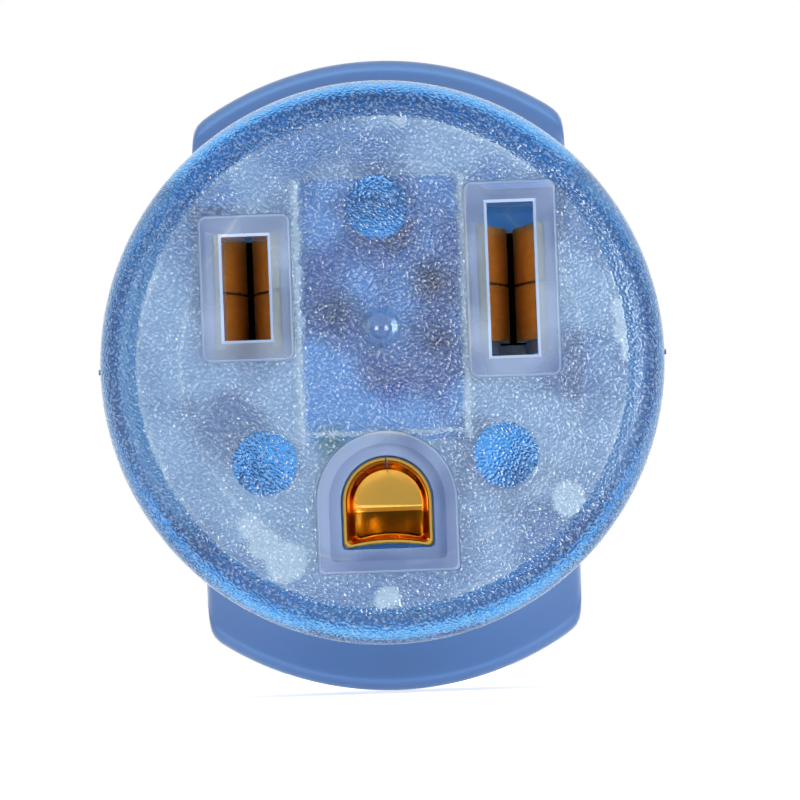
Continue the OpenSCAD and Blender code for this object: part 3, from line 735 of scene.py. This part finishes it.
# %% Sink lines
patches = add(tree, "ShaderNodeMapRange", inputs={
    "Value": cloud, "From Min": 0.4, "From Max": 0.6}).outputs["Result"]
SINK_LINES = (
    (radius, RING_D / 2, 0.25, patches),
    (radius, PLATE_D / 2 - 0.2, 0.3, patches),
    (spot.outputs["X"], -7.8, 0.8, bay_height),
    (spot.outputs["X"], 8.1, 0.8, bay_height),
    (spot.outputs["Z"], -6.8, 0.4, bay),
)
lines = 0.0
for across, at, half_width, limit in SINK_LINES:
    off = add(tree, "ShaderNodeMath", {"operation": "SUBTRACT"}, {0: across, 1: at})
    off = add(tree, "ShaderNodeMath", {"operation": "ABSOLUTE"}, {0: off.outputs[0]})
    sink = add(tree, "ShaderNodeMapRange", SOFT_STEP, {
        "Value": off.outputs[0], "From Max": half_width, "To Min": 1.0, "To Max": 0.0})
    sink = add(tree, "ShaderNodeMath", {"operation": "MULTIPLY"}, {0: sink.outputs["Result"], 1: limit})
    lines = add(tree, "ShaderNodeMath", {"operation": "MAXIMUM"}, {0: lines, 1: sink.outputs[0]}).outputs[0]
print(len(SINK_LINES), "sink lines")

# %% [markdown]
# ## Clear carrier: air pockets
# Where the skin has shrunk away from the plate, a pocket of air shows white. Each is a few circles
# that run into each other like drops, which a smooth minimum of their distances does. Modelled as
# hollows they would need a mesh finer than the flaw is worth.

# %% Air pockets
POCKETS = (
    (-13.2, -15.3, 1.2), (-11.8, -17.1, 1.5), (-9.9, -18.7, 2.0), (-0.3, -22.7, 1.3), (23.1, 4.2, 1.2),
    (23.6, 2.1, 1.5), (23.9, 0.0, 1.2), (13.2, -10.7, 1.1), (17.3, -13.7, 1.7), (2.6, 23.0, 0.8),
)
MELT = 0.5
nearest = None
for x, z, r in POCKETS:
    off = add(tree, "ShaderNodeVectorMath", {"operation": "DISTANCE"}, {0: flat, 1: (x, 0.0, z)})
    off = add(tree, "ShaderNodeMath", {"operation": "SUBTRACT"}, {0: off.outputs["Value"], 1: r})
    if nearest:
        off = add(tree, "ShaderNodeMath", {"operation": "SMOOTH_MIN"}, {
            0: off.outputs[0], 1: nearest.outputs[0], 2: MELT})
    nearest = off
pocket = add(tree, "ShaderNodeMapRange", SOFT_STEP, {
    "Value": nearest.outputs[0], "From Min": -0.2, "From Max": 0.3, "To Min": 1.0, "To Max": 0.0})
air = add(tree, "ShaderNodeMath", {"operation": "MAXIMUM"}, {
    0: lines, 1: pocket.outputs["Result"]}).outputs[0]
plate_haze = add(tree, "ShaderNodeMath", {"operation": "MAXIMUM"}, {0: patchy.outputs["Result"], 1: air})
print(len(POCKETS), "pockets")

# %% [markdown]
# ## Clear carrier: how clear it is
# Only the front of the plate is etched. The collars have a thin uneven veil, whitish along their
# eased front edges, and deeper in the carrier the plastic is nearly clear. All of it is one number
# from nought to one, so the parts are blended by depth.

# %% Clearness of the carrier
ETCHED_HALF, EDGE_AT, EDGE_HALF = 0.3, 0.3, 0.13
VEIL_FADES = (5.0, 7.0)
THIN_VEIL, THICK_VEIL, EDGE_HAZE, DEEP_HAZE = 0.17, 0.36, 0.4, 0.05
etched = add(tree, "ShaderNodeMath", {"operation": "COMPARE"}, {
    0: depth, 1: CARRIER, 2: ETCHED_HALF}).outputs[0]
veil = add(tree, "ShaderNodeMapRange", inputs={"Value": patches, "To Min": THIN_VEIL, "To Max": THICK_VEIL})
veil = add(tree, "ShaderNodeMapRange", SOFT_STEP, {
    "Value": depth, "From Min": VEIL_FADES[0], "From Max": VEIL_FADES[1],
    "To Min": veil.outputs["Result"], "To Max": DEEP_HAZE})
edge = add(tree, "ShaderNodeMath", {"operation": "COMPARE"}, {0: depth, 1: EDGE_AT, 2: EDGE_HALF})
veil = add(tree, "ShaderNodeMath", {"operation": "MULTIPLY_ADD"}, {
    0: edge.outputs[0], 1: EDGE_HAZE, 2: veil.outputs["Result"]})
haze = add(tree, "ShaderNodeMix", inputs={"Factor": etched, "A": veil.outputs[0], "B": plate_haze.outputs[0]})
clear = add(tree, "ShaderNodeMath", {"operation": "SUBTRACT"}, {0: 1.0, 1: haze.outputs["Result"]})
print("veil on the collars from", THIN_VEIL, "to", THICK_VEIL)

# %% [markdown]
# ## Clear carrier: painted shadows of what lies behind
# On the real part wires and blue plastic behind the plate show in its haze as soft dark or
# greenish places. Haze here is a plain scatter that lets no colour through, so these are painted
# shade: each place is a circle with a soft edge, given by its place, its radius and its colour.
# The etched plate over the open bay is painted a deeper blue in the same way. Pockets and lines
# hide them with white.

# %% Colours of the carrier
PAINTED_SHADOWS_BEHIND = (
    (-4.1, 5.1, 3.4, "#1F7488"), (-5.2, -7.4, 2.6, "#3F8F9C"), (5.0, 7.5, 4.2, "#1B2C62"),
    (5.4, 1.8, 2.8, "#284880"), (0.8, -2.4, 3.2, "#2C6FD0"), (2.2, 12.0, 3.0, "#3D5F9E"),
)
# Pale frosted colour, with painted deeper blue over the bay and the painted shadows on top
etched_and_painted_shade = add(tree, "ShaderNodeMix", COLOURS, {
    "Factor": bay, "A": colour("#C4D8F4"), "B": colour("#80BDFF")}).outputs["Result"]
for x, z, r, code in PAINTED_SHADOWS_BEHIND:
    off = add(tree, "ShaderNodeVectorMath", {"operation": "DISTANCE"}, {0: flat, 1: (x, 0.0, z)})
    near = add(tree, "ShaderNodeMapRange", SOFT_STEP, {
        "Value": off.outputs["Value"], "From Max": r, "To Min": 1.0, "To Max": 0.0})
    etched_and_painted_shade = add(tree, "ShaderNodeMix", COLOURS, {
        "Factor": near.outputs["Result"], "A": etched_and_painted_shade, "B": colour(code)}).outputs["Result"]
front = add(tree, "ShaderNodeMapRange", inputs={
    "Value": depth, "From Min": VEIL_FADES[1], "From Max": VEIL_FADES[0]})
tint = add(tree, "ShaderNodeMix", COLOURS, {
    "Factor": front.outputs["Result"], "A": colour("#BFD9FD"), "B": colour("#CBE0FF")})
tint = add(tree, "ShaderNodeMix", COLOURS, {"Factor": etched, "A": tint.outputs["Result"], "B": etched_and_painted_shade})
tint = add(tree, "ShaderNodeMix", COLOURS, {
    "Factor": air, "A": tint.outputs["Result"], "B": colour("#F2F6FF")})
print(len(PAINTED_SHADOWS_BEHIND), "colours show through")

# %% [markdown]
# ## Clear carrier: the gloss
# Polycarbonate copies the tool's polish. The collars are polished; the front walls of the chambers
# and the back edges, where the cover sits, are matt, so that they glow softly and don't mirror the
# contacts. A roughness by depth does that without picking faces.

# %% Clear polycarbonate
# Polished polycarbonate gives the eye bright edges and clear walls, and its etched plate a cloudy one.
POLISHED, MATT_WALL, MATT_BACK = 0.1, 0.45, 0.6
WALL_REACH, BACK_FROM = 1.0, 20.5
wall = add(tree, "ShaderNodeMath", {"operation": "COMPARE"}, {0: depth, 1: CHAMBER, 2: WALL_REACH})
wall = add(tree, "ShaderNodeMapRange", inputs={
    "Value": wall.outputs[0], "To Min": POLISHED, "To Max": MATT_WALL})
back = add(tree, "ShaderNodeMapRange", inputs={
    "Value": depth, "From Min": BACK_FROM, "From Max": CARRIER_END, "To Min": 0.0, "To Max": MATT_BACK})
gloss = add(tree, "ShaderNodeMath", {"operation": "MAXIMUM"}, {
    0: wall.outputs["Result"], 1: back.outputs["Result"]})
plastic = add(tree, "ShaderNodeBsdfPrincipled", inputs={
    "Base Color": tint.outputs["Result"], "Roughness": gloss.outputs[0], "IOR": 1.585,
    "Transmission Weight": clear.outputs[0]})
add(tree, "ShaderNodeOutputMaterial", inputs={"Surface": plastic.outputs[0]})
print(clear_pc.name)

# %% [markdown]
# ## Clear carrier: the form
# A round plate carries a ring wall, the walls of two chambers and a sleeve for the earth contact.
# Three collars stand forward of it, with eased front edges. All could be one sketch pushed to many
# depths; separate solids that are joined stay easier to change. Each is rooted at its own depth in
# the plate, because the Boolean tool is surest where no two faces share a plane.

# %% Plate, ring and collars
COLLAR_FRONT, COLLAR_EASE = 0.15, 0.25
RING_ROOT, TUBE_ROOT, WALL_ROOT = CARRIER + 0.5, CARRIER + 0.6, CARRIER + 0.7
PARTITION_ROOT, CROSS_ROOT = CARRIER + 0.8, CARRIER + 0.9
COLLAR_END = PLATE_END - 0.3
RING_WALL, TUBE_WALL = 1.4, 1.0
carrier = solid(round_bar((0, 0), PLATE_D, CARRIER, PLATE_END, FINE_SIDES))
ring = solid(round_bar((0, 0), RING_D, RING_ROOT, CARRIER_END, FINE_SIDES))
core = solid(round_bar((0, 0), RING_D - 2 * RING_WALL, IN_PLATE, CARRIER_END + PAST, FINE_SIDES))
parts = [combine(ring, [core], "DIFFERENCE")]
collar_rim = COLLAR_FRONT + COLLAR_EASE
for small, full in zip(outlines(COLLARS, -COLLAR_EASE), outlines(COLLARS, 0.0)):
    stops = ((small, COLLAR_FRONT), (full, collar_rim), (full, COLLAR_END))
    parts.append(solid(skinned([[(x, y, z) for x, z in points] for points, y in stops])))
parts += [between(o, WALL_ROOT, CARRIER_END) for o in outlines(WALLS, 0.0)]
small, full = EARTH_COLLAR - 2 * COLLAR_EASE, EARTH_COLLAR
stops = ((small, COLLAR_FRONT), (full, collar_rim), (full, CARRIER_END))
parts.append(solid(skinned([[(x, y, z) for x, z in arched(EARTH, w, EARTH_CORNER)] for w, y in stops])))
print("ring, collars and walls:", len(parts), "solids")

# %% [markdown]
# Three tubes stand round the blue columns, two partitions run beside the chambers, and a cross wall
# closes the bay between them below. All are joined to the plate.

# %% Tubes and partitions
PARTITION_LOW, PARTITION_HIGH = -7.4, 17.2
tube_d = COLUMN_D + 2 * (GAP + TUBE_WALL)
parts += [solid(round_bar(at, tube_d, TUBE_ROOT, CARRIER_END)) for at in COLUMNS]


def box(x0, x1, y0, y1, z0, z1):
    return between([(x0, z0), (x1, z0), (x1, z1), (x0, z1)], y0, y1)


wall_x = RIGHT[0] - CHAMBER_W / 2 - WALL
for s in (-1, 1):
    x0, x1 = sorted((s * wall_x, s * (wall_x + WALL)))
    parts.append(box(x0, x1, PARTITION_ROOT, CARRIER_END, PARTITION_LOW, PARTITION_HIGH))
cross_x = wall_x + WALL / 2
parts.append(box(-cross_x, cross_x, CROSS_ROOT, CARRIER_END, PARTITION_LOW, PARTITION_LOW + WALL))
carrier = combine(carrier, parts, "UNION")
print("carrier blank", len(carrier.data.polygons), "faces")

# %% [markdown]
# ## Clear carrier: its openings
# The chambers are cut from behind, the slots from the front, and a funnel at each slot's mouth
# leads the blade in. The earth hole has a step in front of its brass sleeve, and the tubes are
# drilled through the plate.

# %% Chambers, slots and holes
SLOT_CORNER, FUNNEL_GROW, FUNNEL_END = 0.15, 1.3, 0.45
SLEEVE_SEAT, COLUMN_HOLE = 1.75, COLUMN_D + 2 * GAP
cuts = [between(o, CHAMBER, CARRIER_END + PAST) for o in outlines(CHAMBERS, 0.0)]
for pole, slot_h in SLOTS.items():
    cuts.append(between(rounded_rect(pole, SLOT_W, slot_h, SLOT_CORNER), -PAST, CHAMBER + PAST))
    funnel = []
    for grow, y in ((FUNNEL_GROW, FUNNEL_END - FUNNEL_GROW), (0.0, FUNNEL_END)):
        half_w, half_h = SLOT_W / 2 + grow, slot_h / 2 + grow
        funnel.append([(pole[0] + sx * half_w, y, pole[1] + sz * half_h)
                       for sx, sz in ((-1, -1), (1, -1), (1, 1), (-1, 1))])
    cuts.append(solid(skinned(funnel)))
cuts.append(between(arched(EARTH, EARTH_HOLE, EARTH_CORNER), -PAST, CARRIER_END + PAST))
cuts.append(between(arched(EARTH, EARTH_STEP, EARTH_CORNER), -2 * PAST, SLEEVE_SEAT))
cuts += [solid(round_bar(at, COLUMN_HOLE, CARRIER - PAST, CARRIER_END + PAST)) for at in COLUMNS]
carrier = combine(carrier, cuts, "DIFFERENCE")
piece(carrier, "clear_carrier", "clear_plastic", clear_pc, "contact_carrier")

# %% [markdown]
# ## Cover
# The cover is a plate cut to the same outline. It closes the chambers from behind and lets only the
# three crimp barrels and the three blue columns through. It stands back from the carrier by a hair,
# because two clear faces in the same place render black.

# %% Cover
COVER_SETBACK = 0.03
BARREL_HOLE = BARREL_D + 2 * PLAY
cover_front = CARRIER_END + COVER_SETBACK
cover, lid = (between(o, cover_front, COVER_END) for o in outlines(WALLS, 0.0))
lids = [lid, solid(round_bar((0, 0), RING_D, cover_front, COVER_END, FINE_SIDES))]
lids += [between(arched(EARTH, EARTH_COLLAR, EARTH_CORNER), cover_front, COVER_END)]
cover = combine(cover, lids, "UNION")
holes = [(at, BARREL_HOLE) for at in (LEFT, RIGHT, EARTH)] + [(at, COLUMN_HOLE) for at in COLUMNS]
drills = [solid(round_bar(at, d, CARRIER_END - PAST, COVER_END + PAST)) for at, d in holes]
cover = combine(cover, drills, "DIFFERENCE")
piece(cover, "clear_cover", "clear_plastic", clear_pc, "carrier_cover")

# %% [markdown]
# ## Metals
# The jaws are rolled brass strip and the clips rolled spring steel: a warm gold and a cold grey
# with faint streaks along the rolling, satin and not mirror bright. The earth sleeve is brass too,
# but polished. Shade is painted into the brass: near black deep in the jaws' fold, and brown on the
# lower half of the sleeve's end wall. The wires' copper is drawn and a little dull. One function
# makes them all, because they differ only in colour, polish and where shade is painted on them.


# %% Metal finish
def metal(name, light, dark, roughness, streak_mm, fold=None):
    finish, tree = new_finish(name)
    place = add(tree, "ShaderNodeTexCoord").outputs["Object"]
    stretch = add(tree, "ShaderNodeMapping", inputs={"Vector": place, "Scale": (1.0, 0.15, 1.0)})
    streaks = add(tree, "ShaderNodeTexNoise", inputs={
        "Vector": stretch.outputs[0], "Scale": per_metre(streak_mm), "Detail": 4.0}).outputs["Fac"]
    tone = add(tree, "ShaderNodeMix", COLOURS, {"Factor": streaks, "A": colour(dark), "B": colour(light)})
    # Between two depths the colour is replaced by painted shade
    if fold:
        low, high, shade_colour = fold
        depth = add(tree, "ShaderNodeSeparateXYZ", inputs={"Vector": place}).outputs["Y"]
        inside = add(tree, "ShaderNodeMath", {"operation": "COMPARE"}, {
            0: depth, 1: (low + high) / 2 * MM, 2: (high - low) / 2 * MM})
        tone = add(tree, "ShaderNodeMix", COLOURS, {
            "Factor": inside.outputs[0], "A": tone.outputs["Result"], "B": colour(shade_colour)})
    rough = add(tree, "ShaderNodeMapRange", inputs={
        "Value": streaks, "To Min": roughness * 1.3, "To Max": roughness * 0.7})
    surface = add(tree, "ShaderNodeBsdfPrincipled", inputs={
        "Base Color": tone.outputs["Result"], "Metallic": 1.0, "Roughness": rough.outputs["Result"]})
    add(tree, "ShaderNodeOutputMaterial", inputs={"Surface": surface.outputs[0]})
    return finish


print("metal finish ready")

# %% [markdown]
# The colours are those of clean metal, lighter where the streaks are smooth and darker where they
# are rough. Painted shade is given by the depths between which it lies and by its colour.

# %% Brass, steel and copper
# Rolling lines are hundredths of a millimetre wide: these are drawn coarser, so that they show.
STREAK, STRAND = 0.5, 0.4
# Bands of painted shade: the depths from and to, and the colour painted there
JAW_FOLD_SHADE = (THROAT + 1.0, WEB_END, "#1A1006")
SLEEVE_END_SHADE = (HEEL - 1.1, HEEL + 0.1, "#6C5422")
# Rolled brass gives the eye a soft gold glow; the black in the fold is painted shade.
jaw_brass = metal("rolled brass strip, with painted shade in the fold", "#FFDC92", "#F0BC66", 0.45, STREAK, JAW_FOLD_SHADE)
# Polished brass gives it a bright gold mirror; the brown low on the end wall is painted shade.
sleeve_brass = metal("rolled brass sleeve, polished", "#F2C664", "#DFAE4C", 0.15, STREAK, SLEEVE_END_SHADE)
# Spring steel gives it a flat cold grey.
steel = metal("rolled spring steel strip", "#F2F3F5", "#CDD0D5", 0.6, STREAK)
# Copper strands give it a dull red-brown with lines along the wire.
copper = metal("drawn copper strands", "#D98A5C", "#A85A34", 0.35, STRAND)
print(jaw_brass.name, sleeve_brass.name, steel.name, copper.name, sep="; ")

# %% [markdown]
# ## Jaws and clips: the leaves
# Each line contact is one brass strip folded round a half-round heel, so that its two leaves bow
# towards each other and pinch a blade. Half the gap at a depth is one formula: a parabola from the
# lip to the throat and an eased curve on to the heel. The sides of brass and steel follow it at
# their own distance, measured across the leaf, so the strips keep their thickness where they lean.

# %% Leaves
HEEL_R = 1.6
HEEL_BEND = HEEL - HEEL_R


def jaw_gap(y):
    if y < THROAT:
        return THROAT_HALF + BOW * ((THROAT - y) / (THROAT - LIP)) ** 2
    return THROAT_HALF + (HEEL_R - THROAT_HALF) * eased(min(1.0, (y - THROAT) / (HEEL_BEND - THROAT)))


def leaf_side(inset, room, end, steps=40):
    nudge = 0.01
    side = []
    for k in range(steps + 1):
        y = LIP + (end - LIP) * k / steps
        lean = math.hypot(1.0, (jaw_gap(y + nudge) - jaw_gap(y)) / nudge)
        side.append((jaw_gap(y) + inset * lean + room, y))
    return side


def flipped(points):
    return [(-x, y) for x, y in points]


def upright(pole, points, low, high):
    moved = [(pole[0] + x, y) for x, y in points]
    return solid(prism(moved, pole[1] + low, pole[1] + high, along="Z"))


print("the jaws part", round(2 * jaw_gap(LIP), 2), "mm at the lip and", 2 * THROAT_HALF, "mm at the throat")

# %% [markdown]
# ## Jaws and clips: the brass
# The strip's outline, seen from above, is pushed up to its height. A cut across each leaf parts it
# into two fingers. Behind the heel the strip is rolled to a barrel, with its seam on top, that is
# crimped on the copper of the wire.

# %% Brass jaws
BARREL_OVERLAP, SLIT_HALF = 0.4, 0.125
JAW_HALF_H, SLIT_REACH, HEEL_STEPS = 5.5, 4.0, 34


def barrel(pole):
    x, z = pole
    tube = solid(round_bar(pole, BARREL_D, WEB_END - BARREL_OVERLAP, BARREL_END))
    bore = solid(round_bar(pole, CORE_D + 2 * GAP, BARREL_FROM, BARREL_END + PAST))
    slit = box(x - SLIT_HALF, x + SLIT_HALF, COVER_END, BARREL_END + PAST, z, z + BARREL_D)
    return combine(tube, [bore, slit], "DIFFERENCE")


near, far = leaf_side(0.0, 0.0, HEEL_BEND), leaf_side(BRASS, 0.0, HEEL_BEND)
heel_in = arc((0, HEEL_BEND), HEEL_R, 5, 175, HEEL_STEPS)
heel_out = arc((0, HEEL_BEND), HEEL_R + BRASS, 175, 5, HEEL_STEPS)
strip = near + heel_in + flipped(near)[::-1] + flipped(far) + heel_out + far[::-1]
for pole, side in ((LEFT, "left"), (RIGHT, "right")):
    x, z = pole
    jaws = upright(pole, strip, -JAW_HALF_H, JAW_HALF_H)
    slit = box(x - SLIT_REACH, x + SLIT_REACH, LIP - PAST, HEEL - BRASS, z - SLIT_HALF, z + SLIT_HALF)
    jaws = combine(jaws, [slit], "DIFFERENCE")
    jaws = combine(jaws, [barrel(pole)], "UNION")
    piece(jaws, side + "_jaws", "brass", jaw_brass, side + "_line_contact")

# %% [markdown]
# ## Jaws and clips: the steel
# A steel clip folded round the outside keeps the leaves pressed together. It is a little higher
# than the brass, so its edges show above and below the jaws. Its two leaves, two sides and back
# are joined, and the barrel passes through a hole in the back.

# %% Steel clips
CLIP_LOW, CLIP_HIGH = -6.7, 5.8
CLIP_BACK = (20.7, 20.7 + STEEL)
clip_x = HEEL_R + BRASS + PLAY + STEEL
leaf = leaf_side(BRASS, PLAY, HEEL) + leaf_side(BRASS + STEEL, PLAY, HEEL)[::-1]
for pole, side in ((LEFT, "left"), (RIGHT, "right")):
    x, z = pole
    clip = upright(pole, leaf, CLIP_LOW, CLIP_HIGH)
    rest = [upright(pole, flipped(leaf), CLIP_LOW, CLIP_HIGH)]
    rest.append(box(x - clip_x, x + clip_x, *CLIP_BACK, z + CLIP_LOW, z + CLIP_HIGH))
    for s in (1, -1):
        x0, x1 = sorted((x + s * (clip_x - STEEL), x + s * clip_x))
        rest.append(box(x0, x1, HEEL - STEEL / 2, CLIP_BACK[1] - GAP, z + CLIP_LOW, z + CLIP_HIGH))
    clip = combine(clip, rest, "UNION")
    clip = combine(clip, [solid(round_bar(pole, BARREL_HOLE, WEB_END, CARRIER_END))], "DIFFERENCE")
    piece(clip, side + "_clip", "spring_steel", steel, side + "_backing_clip")

# %% [markdown]
# ## Earth sleeve
# The earth contact is a round-topped brass sleeve, rolled from strip, with its seam on top and a
# bowed flat side. It narrows behind its mouth so that it grips the pin. Rings of one outline make
# the outside and the hollow, because a bent plate would be harder to keep even in thickness.

# %% Sleeve blank and hollow
SLEEVE_W, SLEEVE_NECK, SLEEVE_WALL, SLEEVE_BOW = 8.6, 1.2, 0.45, 0.35
SLEEVE_FRONT, MOUTH_EASE, HAIR = 1.6, 0.2, 0.01
NECK_FROM, NECK_RUN, NECK_STEPS = 7.1, 2.5, 8


def sleeve_rings(inset, y0, y1, mouth):
    stops = [(y0, mouth), (SLEEVE_SEAT, 0.0)]
    stops += [(NECK_FROM + NECK_RUN * k / NECK_STEPS, eased(k / NECK_STEPS)) for k in range(NECK_STEPS + 1)]
    rings = []
    for y, narrowed in stops + [(y1, 1.0)]:
        w = SLEEVE_W - SLEEVE_NECK * narrowed - 2 * inset
        rings.append([(x, y, z) for x, z in arched(EARTH, w, EARTH_CORNER, SLEEVE_BOW)])
    return rings


sleeve = solid(skinned(sleeve_rings(0.0, SLEEVE_FRONT, WEB_END, MOUTH_EASE)))
hollow = solid(skinned(sleeve_rings(SLEEVE_WALL, SLEEVE_FRONT - HAIR, HEEL, -MOUTH_EASE)))
print("sleeve", SLEEVE_W, "mm wide at its mouth")

# %% [markdown]
# The end wall is pressed a little forward in its upper half, which is why that half catches the
# light and the lower half mirrors the sleeve's floor; the brass finish adds painted shade to that
# lower half. The press is a wedge taken out of the hollow before the hollow and the seam are cut,
# and the crimp barrel is joined on behind.

# %% Earth sleeve
PRESSED, PRESS_HALF = 1.2, 5.0
PRESS_TOP, PRESS_EDGE, PRESS_FOOT = 5.0, -0.2, -4.5
SEAM_WIDTH, SEAM_END = 0.125, HEEL - 2.0
press = [(HEEL - PRESSED, PRESS_TOP), (HEEL + PAST, PRESS_TOP), (HEEL + PAST, PRESS_FOOT),
         (HEEL, PRESS_FOOT), (HEEL - PRESSED, PRESS_EDGE)]
press = [(y, EARTH[1] + z) for y, z in press]
hollow = combine(hollow, [solid(prism(press, -PRESS_HALF, PRESS_HALF, along="X"))], "DIFFERENCE")
seam_top = EARTH[1] + SLEEVE_W
top_seam = box(-SEAM_WIDTH / 2, SEAM_WIDTH / 2, SLEEVE_FRONT - PAST, SEAM_END, EARTH[1], seam_top)
sleeve = combine(sleeve, [hollow, top_seam], "DIFFERENCE")
sleeve = combine(sleeve, [barrel(EARTH)], "UNION")
piece(sleeve, "earth_sleeve", "brass", sleeve_brass, "earth_contact")

# %% [markdown]
# ## Wires
# Each wire is a stranded copper core in a jacket of soft extruded PVC: white, black and green. The
# jackets differ only in colour, so one function makes their finish.


# %% Jacket finish
# Extruded PVC gives the eye a plain colour with a soft, slightly uneven sheen.
def jacket(name, code):
    finish, tree = new_finish(name)
    place = add(tree, "ShaderNodeTexCoord").outputs["Object"]
    mottle = add(tree, "ShaderNodeTexNoise", inputs={
        "Vector": place, "Scale": per_metre(1.5), "Detail": 3.0})
    rough = add(tree, "ShaderNodeMapRange", inputs={
        "Value": mottle.outputs["Fac"], "To Min": 0.4, "To Max": 0.6})
    skin = add(tree, "ShaderNodeBsdfPrincipled", inputs={
        "Base Color": colour(code), "Roughness": rough.outputs["Result"]})
    add(tree, "ShaderNodeOutputMaterial", inputs={"Surface": skin.outputs[0]})
    return finish


print("jacket finish ready")

# %% [markdown]
# Little of the wires shows, so the strands are left to the finish of the copper. Core, jacket and
# the space in the moulding follow the same path, so they fit each other.

# %% Wires
WIRES = (
    (LEFT, "left", "white", "#ECEBE6"),
    (RIGHT, "right", "black", "#1C1C1E"),
    (EARTH, "earth", "green", "#1E7A43"),
)
JACKET_BORE_FROM = INSULATION - 0.9
for pole, side, shade, code in WIRES:
    core = solid(skinned(wire_rings(pole, COVER_END, INLET, CORE_D)))
    piece(core, side + "_core", "copper", copper, side + "_conductor")
    tube = solid(skinned(wire_rings(pole, INSULATION, INLET, WIRE_D)))
    bore = solid(skinned(wire_rings(pole, JACKET_BORE_FROM, INLET + PAST, CORE_D + 2 * GAP)))
    tube = combine(tube, [bore], "DIFFERENCE")
    finish = jacket("extruded " + shade + " wire jacket", code)
    piece(tube, side + "_jacket", shade + "_insulation", finish, side + "_wire_insulation")
